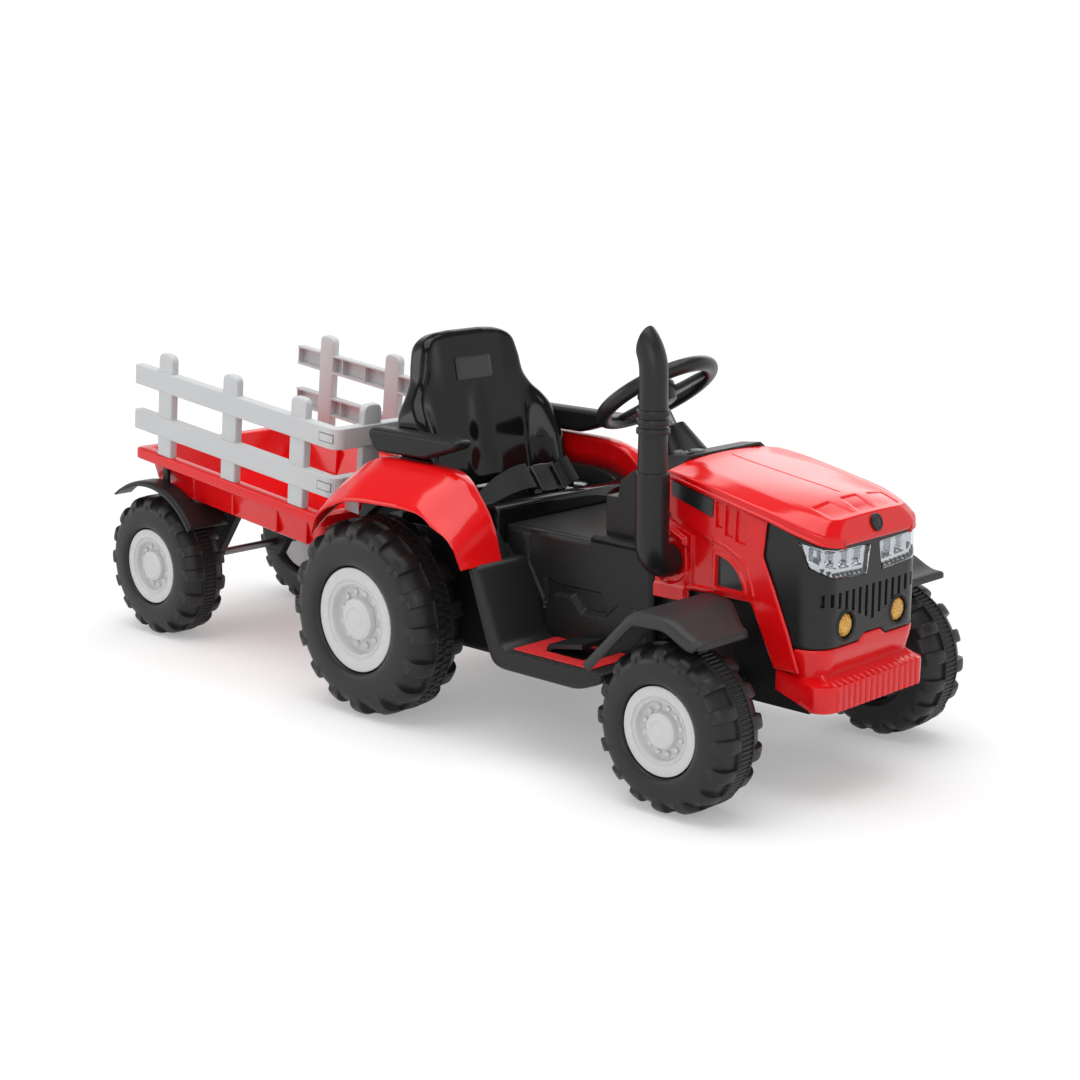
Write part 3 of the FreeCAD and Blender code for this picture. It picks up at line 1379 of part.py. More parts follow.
# Trailer: its pieces are drawn level about the trailer's axle and pitched nose-down with it.
BED_FRONT = "(trailer_reach - bed_gap)"
RAIL_FRONT = f"({BED_FRONT} + rail_overhang)"
POST_ROUND_SHARE = 0.58
POST_PITCH = f"(({BED_FRONT} - post_last_in - post_first) / 2)"


def pitched(item, label=""):
    item.Placement = FreeCAD.Placement(FreeCAD.Vector(0, 0, 0),
                                       FreeCAD.Rotation(FreeCAD.Vector(0, 1, 0), number("trailer_pitch_deg")))
    tie(item, Placement__Base__x="rear_axle_x - trailer_reach", Placement__Base__z="trailer_tyre_radius")
    return keep(item, label) if label else item


def bed_frame(body, offset, inset):
    """Plan of the bed at one height, moved in from the flange's edge by inset."""
    inset = f"({inset})"
    return draw(body, "XY_Plane", [
        (f"bed_rear + {inset}", f"{inset} - bed_half"), (f"{BED_FRONT} - {inset}", f"{inset} - bed_half"),
        (f"{BED_FRONT} - {inset}", f"bed_half - {inset}"), (f"bed_rear + {inset}", f"bed_half - {inset}"),
    ], offset)


def trailer_tub():
    body = new_body("bed")
    pad(body, bed_frame(body, "bed_top - bed_flange", "0"), "bed_flange")
    loft(body, [bed_frame(body, "bed_top - bed_flange", "bed_lip - wall"),
                bed_frame(body, "bed_low", "bed_lip + bed_taper - wall")])
    loft(body, [bed_frame(body, "bed_top + overrun", "bed_lip"),
                bed_frame(body, "bed_low + bed_floor", "bed_lip + bed_taper")], "SubtractiveLoft")
    return pitched(body, "trailer_tub")


trailer_tub()


def fence_side():
    """A side fence: two long rails and three round-topped posts, drawn flat and set on the flange."""
    body = new_body("fence")
    for low in ("rail_low_z", "rail_high_z"):
        pad(body, draw(body, "XZ_Plane", [
            ("rail_rear", low), (RAIL_FRONT, low), (RAIL_FRONT, f"{low} + rail_height"),
            ("rail_rear", f"{low} + rail_height"),
        ], "bed_half - fence_thick"), "fence_thick")
    for index in range(3):
        middle = f"(post_first + {index} * {POST_PITCH})"
        left = f"{middle} - post_width / 2"
        right = f"{middle} + post_width / 2"
        shoulder = "post_top - post_width / 3"
        pad(body, draw(body, "XZ_Plane", [
            (left, "bed_top"), (right, "bed_top"), (right, shoulder, (f"{POST_ROUND_SHARE} * post_width", 1)),
            (left, shoulder),
        ], "bed_half - fence_thick"), "fence_thick")
    return pitched(body, "trailer_fence_right")


mirror("trailer_fence_left", fence_side())


def fence_front():
    """The front fence: two cross rails and two posts between the side fences."""
    body = new_body("front_fence")
    side = "(bed_half - fence_thick - seam)"
    back = f"{RAIL_FRONT} - fence_thick"
    for low in ("rail_low_z", "rail_high_z"):
        pad(body, draw(body, "YZ_Plane", [
            (f"0 - {side}", low), (side, low), (side, f"{low} + rail_height"),
            (f"0 - {side}", f"{low} + rail_height"),
        ], back), "fence_thick")
    for hand in ("0 -", ""):
        middle = f"({hand} front_post_y)"
        left = f"{middle} - post_width / 2"
        right = f"{middle} + post_width / 2"
        shoulder = "post_top - post_width / 3"
        pad(body, draw(body, "YZ_Plane", [
            (left, "rail_low_z"), (right, "rail_low_z"),
            (right, shoulder, (f"{POST_ROUND_SHARE} * post_width", 1)),
            (left, shoulder),
        ], back), "fence_thick")
        pad(body, draw(body, "YZ_Plane", [
            (left, "bed_top"), (right, "bed_top"), (right, "rail_low_z + wall"), (left, "rail_low_z + wall"),
        ], f"{BED_FRONT} - fence_thick"), "fence_thick + rail_overhang")
    return pitched(body, "trailer_fence_front")


fence_front()


ARCH_SHARES = ((0.86, 0.51), (-0.64, 0.768))


def wheel_arches():
    """Curved dark guards over the trailer's tyres, hung from the underside of the flange."""
    outer = "(arch_radius + arch_thick)"
    (fore, fore_up), (aft, aft_up) = ARCH_SHARES
    hanger = "(bed_half - bed_lip / 2)"
    arches = []
    for side, start, tab in (("right", "arch_inner", hanger),
            ("left", "0 - arch_outer", f"0 - {hanger} - 2 * wall")):
        body = new_body(f"trailer_arch_{side}")
        pad(body, draw(body, "XZ_Plane", [
            (f"{fore} * arch_radius", f"{fore_up} * arch_radius", ("arch_radius", 1)),
            (f"{aft} * arch_radius", f"{aft_up} * arch_radius"),
            (f"{aft} * {outer}", f"{aft_up} * {outer}", (outer, -1)),
            (f"{fore} * {outer}", f"{fore_up} * {outer}"),
        ], start), "arch_outer - arch_inner")
        pad(body, draw(body, "XZ_Plane", [
            ("0 - bar_half", "arch_radius + arch_thick / 2"), ("bar_half", "arch_radius + arch_thick / 2"),
            ("bar_half", "bed_top - bed_flange - seam"), ("0 - bar_half", "bed_top - bed_flange - seam"),
        ], tab), "2 * wall")
        arches.append(pitched(body))
    return keep(group("trailer_arches", arches), "trailer_fenders")


wheel_arches()


def axle_hangers():
    """Two dark brackets under the bed that hold the trailer's axle."""
    body = new_body("hanger")
    pad(body, draw(body, "XZ_Plane", [
        ("0 - hanger_foot / 2", "0 - hanger_foot / 2"), ("hanger_foot / 2", "0 - hanger_foot / 2"),
        ("hanger_length / 2 + hanger_foot / 2", "bed_low - seam"),
        ("hanger_foot / 2 - hanger_length / 2", "bed_low - seam"),
    ], "hanger_y"), "hanger_thick")
    pair = mirrored_pair("hangers", pitched(body))
    bore = solid("Cylinder", "hanger_bore", ("rear_axle_x - trailer_reach", "trailer_rim_face",
            "trailer_tyre_radius"),
                 AXLE_TURN, 90, Radius="axle_radius + running", Height="2 * trailer_rim_face")
    return keep(without("hangers_bored", pair, bore), "axle_hangers")


axle_hangers()

keep(solid("Cylinder", "trailer_rod", ("rear_axle_x - trailer_reach", "trailer_rim_face - axle_end_in",
                                       "trailer_tyre_radius"), AXLE_TURN, 90,
           Radius="axle_radius", Height="2 * (trailer_rim_face - axle_end_in)"), "trailer_axle")


# Drawbar: a flat bar under the bed's front, with an eye that drops over the hitch pin.
NECK_SHARES = {"half": 0.7, "reach": 3.6, "drop": 1.8}


def drawbar():
    body = new_body("bar")
    pad(body, draw(body, "XY_Plane", [
        ("hanger_length", "0 - bar_half"), (f"{BED_FRONT} - 2 * bed_lip", "0 - bar_half"),
        (f"{BED_FRONT} - 2 * bed_lip", "bar_half"), ("hanger_length", "bar_half"),
    ], "bed_low - seam - bar_height"), "bar_height")
    pitched(body)
    eye_low = "(hitch_z + seam)"
    bar_low = (f"(trailer_tyre_radius + (bed_low - seam - bar_height) * cos(trailer_pitch_deg * 1deg)"
               f" - ({BED_FRONT} - 2 * bed_lip) * sin(trailer_pitch_deg * 1deg))")
    eye = solid("Cylinder", "bar_eye", (along("hitch_x"), "0", eye_low), Radius="eye_radius",
            Height="eye_height")
    neck_half = f"({NECK_SHARES['half']} * bar_half)"
    reach = f"({NECK_SHARES['reach']} * eye_radius)"
    neck = solid("Box", "bar_neck", (f"{along('hitch_x')} - {reach}", f"0 - {neck_half}", eye_low),
                 Length=reach, Width=f"2 * {neck_half}", Height="eye_height")
    drop = solid("Box", "bar_drop", (f"{along('hitch_x')} - {reach} - {NECK_SHARES['drop']} * eye_radius",
            f"0 - {neck_half}", eye_low),
                 Length="2 * eye_radius", Width=f"2 * {neck_half}",
                 Height=f"{bar_low} + bar_height / 2 - {eye_low}")
    bore = solid("Cylinder", "eye_bore", (along("hitch_x"), "0", f"{eye_low} - overrun"),
                 Radius="hitch_pin_radius + running", Height="eye_height + 2 * overrun")
    return without("drawbar_bored", joined("drawbar_block", [body, eye, neck, drop]), bore)


keep(drawbar(), "tow_bar")

doc.recompute()

faults = [f"{item.Label}: {item.State}" for item in doc.Objects
          if any(state in ("Invalid", "Error") for state in item.State)]
for label, item in pieces.items():
    if item.Shape.isNull() or not item.Shape.isValid():
        faults.append(f"{label}: shape is null or not valid")
if faults:
    raise RuntimeError("; ".join(faults))

os.makedirs("parts", exist_ok=True)
for label, item in pieces.items():
    item.Shape.exportStep(f"parts/{label}.step")
print(len(pieces), "sub-parts written")
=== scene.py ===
from math import cos, pi, radians, sin

import bmesh
import bpy
import numpy as np
from mathutils.geometry import delaunay_2d_cdt
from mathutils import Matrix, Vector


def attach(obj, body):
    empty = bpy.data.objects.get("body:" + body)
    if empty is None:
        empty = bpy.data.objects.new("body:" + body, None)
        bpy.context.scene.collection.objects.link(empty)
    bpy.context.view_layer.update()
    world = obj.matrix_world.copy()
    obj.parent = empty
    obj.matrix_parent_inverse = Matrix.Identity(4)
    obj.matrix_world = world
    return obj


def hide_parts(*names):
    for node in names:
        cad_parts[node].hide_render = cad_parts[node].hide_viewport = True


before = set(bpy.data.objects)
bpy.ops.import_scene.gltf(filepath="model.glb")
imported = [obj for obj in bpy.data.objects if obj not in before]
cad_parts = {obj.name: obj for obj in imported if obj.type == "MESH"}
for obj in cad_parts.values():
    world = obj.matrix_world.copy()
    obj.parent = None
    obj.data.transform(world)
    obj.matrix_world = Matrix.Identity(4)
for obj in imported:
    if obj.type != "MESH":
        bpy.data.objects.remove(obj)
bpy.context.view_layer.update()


# Floor and studio: a plain pale sweep under one wide soft light overhead and three large
# panels round about. The backdrop is white where it is seen directly or mirrored in gloss,
# darker high up where the ceiling would be, and an even dimmer white where it only fills.
def feed(made, **values):
    """Fills a shader node: values are socket names in lower case with underscores, or node properties. A
    value that is itself a socket is linked in."""
    for key, value in values.items():
        named = [socket for socket in made.inputs if socket.name.lower() == key.replace("_", " ")]
        if not named:
            setattr(made, key, value)
        elif isinstance(value, bpy.types.NodeSocket):
            made.id_data.links.new(value, named[0])
        else:
            named[0].default_value = value


def node(tree, kind, *sources, **values):
    """A new shader node filled with values; sources are sockets that are linked to its inputs in order."""
    made = tree.nodes.new(kind)
    feed(made, **values)
    for source, socket in zip(sources, made.inputs):
        tree.links.new(source, socket)
    return made


def two_tone(tree, share, dark, light):
    """Socket of a colour that runs from dark to light while the socket share runs from zero to one."""
    tone = node(tree, "ShaderNodeMix", share, data_type="RGBA")
    ends = [socket for socket in tone.inputs if socket.type == "RGBA"]
    for socket, colour in zip(ends, (dark, light)):
        socket.default_value = (*colour, 1.0)
    return next(socket for socket in tone.outputs if socket.type == "RGBA")


def direct_view(tree):
    """Socket that is one where a ray comes from the camera, a mirror or glass, and zero where it only
    lights."""
    path = node(tree, "ShaderNodeLightPath")
    last = path.outputs["Is Camera Ray"]
    for name in ("Is Glossy Ray", "Is Transmission Ray"):
        last = node(tree, "ShaderNodeMath", last, path.outputs[name], operation="MAXIMUM").outputs[0]
    return last


WHITE = (1.0, 1.0, 1.0, 1.0)
FLOOR_REACH = 9.0
LAMPS = (("overhead", (0.2, -0.2, 3.2), (0, 0, 0.2), 3.4, 92.0),
         ("front_panel", (2.6, -3.0, 1.9), (0, 0, 0.3), 2.0, 24.0),
         ("side_panel", (-2.6, -2.6, 1.6), (0, 0, 0.3), 1.8, 18.0),
         ("back_panel", (-1.2, 3.0, 2.2), (0, 0, 0.3), 2.0, 20.0))
CAMERA_PLACE = (1.9941, -1.9623, 0.8326)
CAMERA_TURN = (radians(77.45), 0.0, radians(43.92))
FOCAL_LENGTH, SENSOR_WIDTH = 67.19, 36.0


def backdrop():
    """The world: a dim even fill and, for direct views, a white that darkens towards the ceiling."""
    world = bpy.data.worlds.new("studio")
    bpy.context.scene.world = world
    world.use_nodes = True
    tree = world.node_tree
    tree.nodes.clear()
    heading = node(tree, "ShaderNodeTexCoord")
    split = node(tree, "ShaderNodeSeparateXYZ", heading.outputs["Generated"])
    ceiling = node(tree, "ShaderNodeMapRange", value=split.outputs["Z"], from_min=0.30, from_max=0.62,
                   to_min=1.05, to_max=0.22, interpolation_type="SMOOTHSTEP")
    white = node(tree, "ShaderNodeBackground", color=WHITE, strength=ceiling.outputs[0])
    fill = node(tree, "ShaderNodeBackground", color=WHITE, strength=0.48)
    mix = node(tree, "ShaderNodeMixShader", direct_view(tree), fill.outputs[0], white.outputs[0])
    node(tree, "ShaderNodeOutputWorld", mix.outputs[0])


def paper_floor():
    """Matt white paper that fades to plain white light away from the object, in direct views only."""
    low, high = -FLOOR_REACH, FLOOR_REACH
    mesh = bpy.data.meshes.new("floor")
    mesh.from_pydata([(low, low, 0), (high, low, 0), (high, high, 0), (low, high, 0)], [], [(0, 1, 2, 3)])
    floor = bpy.data.objects.new("floor", mesh)
    bpy.context.scene.collection.objects.link(floor)
    paper = bpy.data.materials.new("paper")
    paper.use_nodes = True
    tree = paper.node_tree
    where = node(tree, "ShaderNodeTexCoord").outputs["Object"]
    cloud = node(tree, "ShaderNodeTexNoise", vector=where, scale=2.0, detail=2.0)
    shader = tree.nodes["Principled BSDF"]
    feed(shader, roughness=0.9, specular_ior_level=0.1,
         base_color=two_tone(tree, cloud.outputs[0], (0.93, 0.93, 0.93), (0.95, 0.95, 0.95)))
    away = node(tree, "ShaderNodeVectorMath", where, operation="LENGTH")
    fade = node(tree, "ShaderNodeMapRange", value=away.outputs["Value"], from_min=0.85, from_max=1.7,
                to_min=0.30, interpolation_type="SMOOTHSTEP")
    shown = node(tree, "ShaderNodeMath", fade.outputs[0], direct_view(tree), operation="MULTIPLY")
    glow = node(tree, "ShaderNodeEmission", color=WHITE, strength=1.05)
    mix = node(tree, "ShaderNodeMixShader", shown.outputs[0], shader.outputs[0], glow.outputs[0])
    tree.links.new(mix.outputs[0], tree.nodes["Material Output"].inputs[0])
    mesh.materials.append(paper)


def lamps():
    """Square area lamps, each with a name, a place, a point to aim at, a width and a power."""
    for name, place, aim, width, power in LAMPS:
        light = bpy.data.lights.new(name, "AREA")
        light.shape = "SQUARE"
        light.size = width
        light.energy = power
        lamp = bpy.data.objects.new(name, light)
        turn = Vector(aim) - Vector(place)
        lamp.location = place
        lamp.rotation_euler = turn.to_track_quat("-Z", "Y").to_euler()
        bpy.context.scene.collection.objects.link(lamp)


def photo_camera():
    """The camera that was fitted to the photograph."""
    lens = bpy.data.cameras.new("camera")
    lens.sensor_width = SENSOR_WIDTH
    lens.lens = FOCAL_LENGTH
    camera = bpy.data.objects.new("camera", lens)
    camera.location = CAMERA_PLACE
    camera.rotation_euler = CAMERA_TURN
    bpy.context.scene.collection.objects.link(camera)
    bpy.context.scene.camera = camera


bpy.context.scene.view_settings.view_transform = "Standard"
backdrop()
paper_floor()
lamps()
photo_camera()


# Tyres: hollow moulded black plastic. Sixteen blocky lugs a side climb from the sidewall to a ribbed
# centre band that runs between two thin ridges, and one side's lugs stand half a pitch behind the other's.
class Shape:
    """Points in millimetres and faces of one piece, gathered island by island."""

    def __init__(self):
        self.points = []
        self.faces = []
        self.count = 0

    def add(self, points, faces):
        """Adds an island whose faces count from its own first point."""
        points = np.asarray(points, dtype=float).reshape(-1, 3)
        self.faces += [tuple(i + self.count for i in face) for face in faces]
        self.points.append(points)
        self.count += len(points)

    def grid(self, points, wrap_rows=False, wrap_columns=False, ends=False):
        """Adds a sheet of quads over rows x columns points, closed round either way, capped at row ends."""
        points = np.asarray(points)
        rows, columns = points.shape[:2]
        faces = quads(rows, columns, wrap_rows, wrap_columns)
        if ends:
            faces.append(list(range(columns))[::-1])
            faces.append(list(range((rows - 1) * columns, rows * columns)))
        self.add(points, faces)


def quads(rows, columns, wrap_rows=False, wrap_columns=False):
    """Corner numbers of the quads over a sheet of points that is counted row by row."""
    index = np.arange(rows * columns).reshape(rows, columns)
    if wrap_rows:
        index = np.vstack([index, index[:1]])
    if wrap_columns:
        index = np.hstack([index, index[:, :1]])
    corners = (index[:-1, :-1], index[:-1, 1:], index[1:, 1:], index[1:, :-1])
    return np.stack([corner.ravel() for corner in corners], axis=1).tolist()


MILLIMETRE = 0.001


def piece(name, shape, body, nodes, material, crisp=32.0, thick=0.0, solid=True):
    """Mesh object of a shape: outward faces, smooth but for edges bent more than crisp degrees.
    thick, in millimetres, gives an open sheet its wall behind the face; it is then not a solid yet."""
    mesh = bpy.data.meshes.new(name)
    mesh.from_pydata((np.concatenate(shape.points) * MILLIMETRE).tolist(), [], shape.faces)
    if solid:
        cage = bmesh.new()
        cage.from_mesh(mesh)
        bmesh.ops.recalc_face_normals(cage, faces=cage.faces)
        cage.to_mesh(mesh)
        cage.free()
    mesh.shade_smooth()
    mesh.set_sharp_from_angle(angle=radians(crisp))
    made = bpy.data.objects.new(name, mesh)
    bpy.context.scene.collection.objects.link(made)
    mesh.materials.append(material)
    if thick:
        wall = made.modifiers.new("wall", "SOLIDIFY")
        wall.thickness = thick * MILLIMETRE
        wall.offset = -1.0
        wall.use_even_offset = False
    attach(made, body)
    if nodes:
        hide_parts(*nodes)


def plastic(name, dark, light, rough=0.35, spread=0.06, grain=900.0, relief=0.02, cloud=9.0, coat=0.0,
            shine=0.5):
    """Moulded plastic: two close tones in a slow cloud, a roughness that wanders by spread, a fine grain."""
    made = bpy.data.materials.new(name)
    made.use_nodes = True
    tree = made.node_tree
    where = node(tree, "ShaderNodeTexCoord").outputs["Object"]
    slow = node(tree, "ShaderNodeTexNoise", vector=where, scale=cloud, detail=3.0).outputs[0]
    fine = node(tree, "ShaderNodeTexNoise", vector=where, scale=grain, detail=2.0).outputs[0]
    span = node(tree, "ShaderNodeMapRange", value=slow, to_min=rough - spread, to_max=rough + spread)
    bump = node(tree, "ShaderNodeBump", height=fine, strength=relief, distance=0.001)
    feed(tree.nodes["Principled BSDF"], ior=1.5, specular_ior_level=shine, coat_weight=coat,
         coat_roughness=0.06, base_color=two_tone(tree, slow, dark, light), roughness=span.outputs[0],
         normal=bump.outputs[0])
    return made


def smooth(value, low, high):
    """Runs from 0 at low to 1 at high with a soft start and end."""
    share = np.clip((np.asarray(value, dtype=float) - low) / (high - low), 0.0, 1.0)
    return share * share * (3.0 - 2.0 * share)


def curve(points, count):
    """A smooth line through the points at count even steps, as a Catmull-Rom spline."""
    points = np.asarray(points, dtype=float)
    padded = np.vstack([2 * points[0] - points[1], points, 2 * points[-1] - points[-2]])
    place = np.linspace(0, len(points) - 1, count)
    cell = np.minimum(place.astype(int), len(points) - 2)
    t = (place - cell)[:, None]
    a, b, c, d = (padded[cell + k] for k in range(4))
    second, third = 2 * a - 5 * b + 4 * c - d, 3 * b - a - 3 * c + d
    return 0.5 * (2 * b + (c - a) * t + second * t ** 2 + third * t ** 3)


def full_turn(count):
    """Angles at count even steps round a circle."""
    return np.linspace(0, 2 * pi, count, endpoint=False)


def ring_points(profile, angles, centre, side):
    """Turns (across, radius) profile points round a wheel's axle; across runs out from the mid plane. The
    profile is one line for all angles, or rows with a point at each angle."""
    if profile.ndim == 2:
        profile = np.repeat(profile[:, None, :], len(angles), axis=1)
    across, radius = profile[..., 0], profile[..., 1]
    x = centre[0] + radius * np.cos(angles)
    z = centre[1] + radius * np.sin(angles)
    return np.stack([x, side * across, z], axis=-1)


HANDS = (("right", -1.0), ("left", 1.0))
SIDES = (-1.0, 1.0)
BASE_SHARES = ((0.012, 0.790), (0.036, 0.835), (0.085, 0.872), (0.15, 0.907), (0.23, 0.934), (0.343, 0.952))
LUG_SHARES = ((0.006, 0.797), (0.018, 0.868), (0.070, 0.934), (0.13, 0.968), (0.21, 0.989), (0.343, 0.996))
WALL_SHARES = ((0.085, 0.540), (0.040, 0.556), (0.010, 0.590), (0.000, 0.640), (0.001, 0.700),
               (0.012, 0.790))
BAND_SHARES = ((0.350, 0.994), (0.366, 0.994), (0.372, 0.976), (0.50, 0.976), (0.628, 0.976), (0.634, 0.994),
               (0.650, 0.994))
RIDGE_SHARES = ((0.494, 0.972), (0.494, 0.992), (0.506, 0.992), (0.506, 0.972))
LUG_COUNT, LUG_PITCH, LUG_HALF, LUG_TAPER, LUG_FLANK = 16, 22.5, 5.75, 0.4, 1.0
LUG_START_SHARES, LUG_RAMP_SHARE = (0.02, 0.17), 0.07
LUG_EDGES_DEG = (-11.25, -8.4, -6.1, -5.75, -4.75, -2.5, -0.4, 0.4, 2.5, 4.75, 5.75, 6.1, 8.4)
SKIN_STEPS, WALL_STEPS = 17, 12
BAND_RIBS = {1: (104, ((0.376, 0.624),)), 2: (72, ((0.376, 0.488), (0.512, 0.624)))}
RIB_FOOT, RIB_RISE, RIB_BOTTOM, RIB_EASE = 0.974, 0.019, 0.970, 0.006
WHEELS = {
    "rear": {"centre": (-11.0, 136.2), "radius": 136.2, "width": 95.3, "face": 246.3, "rim_face": 240.6,
             "rim": 71.7, "rows": 2},
    "front": {"centre": (536.0, 103.5), "radius": 103.5, "width": 84.0, "face": 254.0, "rim_face": 249.0,
              "rim": 54.5, "rows": 1},
    "trailer": {"centre": (-563.0, 110.3), "radius": 110.3, "width": 76.0, "face": 186.0, "rim_face": 181.5,
                "rim": 58.0, "rows": 1},
}


def tyre_side(angles, shift):
    """One side from bead to band, as shares of width and radius in rows over the angles: the base carcass
    plus, where the lug mask is one, the lug skin. The lugs are shifted by shift degrees."""
    climb = np.linspace(0.0, 1.0, SKIN_STEPS)[:, None]
    base, lug = curve(BASE_SHARES, SKIN_STEPS), curve(LUG_SHARES, SKIN_STEPS)
    turn = (np.degrees(angles)[None, :] + shift + LUG_PITCH / 2) % LUG_PITCH - LUG_PITCH / 2
    start = np.where(turn > 0, *LUG_START_SHARES)
    half = LUG_HALF - LUG_TAPER * climb
    inside = 1.0 - smooth(np.abs(turn), half - LUG_FLANK, half)
    mask = inside * smooth(climb, start, start + LUG_RAMP_SHARE)
    skin = base[:, None, :] + mask[..., None] * (lug - base)[:, None, :]
    wall = curve(WALL_SHARES, WALL_STEPS)[:-1]
    return np.concatenate([np.repeat(wall[:, None, :], len(angles), axis=1), skin])


def tyre(kind, hand, side):
    """A tyre whose outer face stands at the wheel's face. Round the axle the samples sit on the lug edges of
    both sides; the band's ribs, and the ridge between two rows of them, are rings of their own."""
    wheel = WHEELS[kind]
    shape = Shape()

    def ring(shares, turns):
        """Adds a closed ring from shares of the tyre's width and radius."""
        across = wheel["face"] - wheel["width"] * shares[..., 0]
        profile = np.stack([across, wheel["radius"] * shares[..., 1]], axis=-1)
        shape.grid(ring_points(profile, turns, wheel["centre"], side), wrap_rows=True, wrap_columns=True)

    steps = np.array(LUG_EDGES_DEG)
    local = np.sort(np.concatenate([steps, (steps + LUG_PITCH) % LUG_PITCH - LUG_PITCH / 2]))
    angles = np.radians((np.arange(LUG_COUNT)[:, None] * LUG_PITCH + local[None, :]).ravel())
    far = tyre_side(angles, LUG_PITCH / 2)[::-1].copy()
    far[..., 0] = 1.0 - far[..., 0]
    band = np.repeat(np.array(BAND_SHARES)[:, None, :], len(angles), axis=1)
    ring(np.concatenate([tyre_side(angles, 0.0), band, far]), angles)

    count, spans = BAND_RIBS[wheel["rows"]]
    beat = np.arange(count * 4)
    turns = beat * 2 * pi / len(beat)
    tops, level = np.array([0.0, 1.0, 1.0, 0.0]), np.zeros(len(beat))
    for row, (start, stop) in enumerate(spans):
        high = tops[(beat + 2 * row) % 4]
        foot, top, bottom = RIB_FOOT + level, RIB_FOOT + RIB_RISE * high, RIB_BOTTOM + level
        line = [(start, foot), (start + RIB_EASE, top), (stop - RIB_EASE, top), (stop, foot), (stop, bottom),
                (start, bottom)]
        ring(np.array([np.stack([place + level, height], axis=-1) for place, height in line]), turns)
    if len(spans) == 2:
        ring(np.array(RIDGE_SHARES), turns)
    piece(f"{kind}_tyre_{hand}_skin", shape, f"{kind}_wheel_{hand}", [f"{kind}_tyre_{hand}"],
          tyre_black, crisp=26.0)


tyre_black = plastic("tyre_black", (0.012, 0.012, 0.0125), (0.018, 0.018, 0.0185), rough=0.40, grain=1500.0,
                     relief=0.06, shine=0.32)
for hand, side in HANDS:
    for kind in WHEELS:
        tyre(kind, hand, side)


# Rims: light grey moulded discs with a flat flange ring, a groove and two thin rings, a
# recessed dish with twelve round bolt heads and a raised, chamfered hub cap in the middle.
RIM_DEEP_SHARE, DISH_SHARE = 0.80, 0.18
RIM_PROFILE = (
    # millimetres behind the face, a share of the dish's depth that is added, and a share of the rim's radius
    (3.0, 0, 0.985), (1.0, 0, 1.0), (0.3, 0, 0.992), (0.0, 0, 0.975), (0.0, 0, 0.80), (0.4, 0, 0.785),
    (2.0, 0, 0.775), (2.4, 0, 0.76), (2.4, 0, 0.73), (1.4, 0, 0.722), (1.4, 0, 0.70), (2.6, 0, 0.692),
    (2.6, 0, 0.675), (-1.5, 1, 0.655), (-0.4, 1, 0.645), (0.0, 1, 0.63), (0.0, 1, 0.42), (-0.4, 1, 0.41),
    (0.0, 0.35, 0.40), (0.0, 0.22, 0.39), (0.0, 0.08, 0.34), (0.0, 0.03, 0.31), (0.0, 0.03, 0.24),
    (0.0, 0.10, 0.225), (0.0, 0.10, 0.16))
HUB_CAP_PROFILE = ((2.0, 0.10, 0.165), (-0.2, 0.10, 0.165), (0.0, 0.05, 0.15), (0.0, 0.05, 0.10),
                   (0.0, 0.02, 0.05), (0.0, 0.0, 0.012))
BOLT_COUNT, BOLT_RING_SHARE = 12, 0.52
BOLT_PROFILE = ((-1.0, 0.066), (2.0, 0.064), (2.9, 0.055), (3.4, 0.034), (3.5, 0.008))


def rim(kind, hand, side):
    """A rim as one closed turned profile, a hub cap and a ring of domed bolt heads."""
    wheel = WHEELS[kind]
    radius, centre = wheel["rim"], wheel["centre"]
    deep, dish = wheel["width"] * RIM_DEEP_SHARE, radius * DISH_SHARE
    shape = Shape()
    back = [(deep, 0, 0.16), (deep, 0, 0.92), (deep - 2, 0, 0.94)]
    for profile, count, closed in ((back + list(RIM_PROFILE), 144, True), (HUB_CAP_PROFILE, 48, False)):
        behind, dished, share = np.array(profile).T
        line = np.stack([wheel["rim_face"] - (behind + dish * dished), share * radius], axis=-1)
        shape.grid(ring_points(line, full_turn(count), centre, side), wrap_rows=closed, wrap_columns=True,
                   ends=not closed)
    around = full_turn(18)
    for k in range(BOLT_COUNT):
        turn = (k + 0.5) * 2 * pi / BOLT_COUNT
        x = centre[0] + BOLT_RING_SHARE * radius * cos(turn)
        z = centre[1] + BOLT_RING_SHARE * radius * sin(turn)
        rows = []
        for high, wide in BOLT_PROFILE:
            y = np.full(len(around), side * (wheel["rim_face"] - dish + high))
            rows.append(np.stack([x + wide * radius * np.cos(around), y, z + wide * radius * np.sin(around)],
                                 axis=-1))
        shape.grid(rows, wrap_columns=True, ends=True)
    piece(f"{kind}_rim_{hand}_skin", shape, f"{kind}_wheel_{hand}",
          [f"{kind}_rim_{hand}"], rim_grey, crisp=24.0)


rim_grey = plastic("rim_grey", (0.55, 0.55, 0.555), (0.61, 0.61, 0.615), rough=0.36, relief=0.015, shine=0.4)
for hand, side in HANDS:
    for kind in WHEELS:
        rim(kind, hand, side)


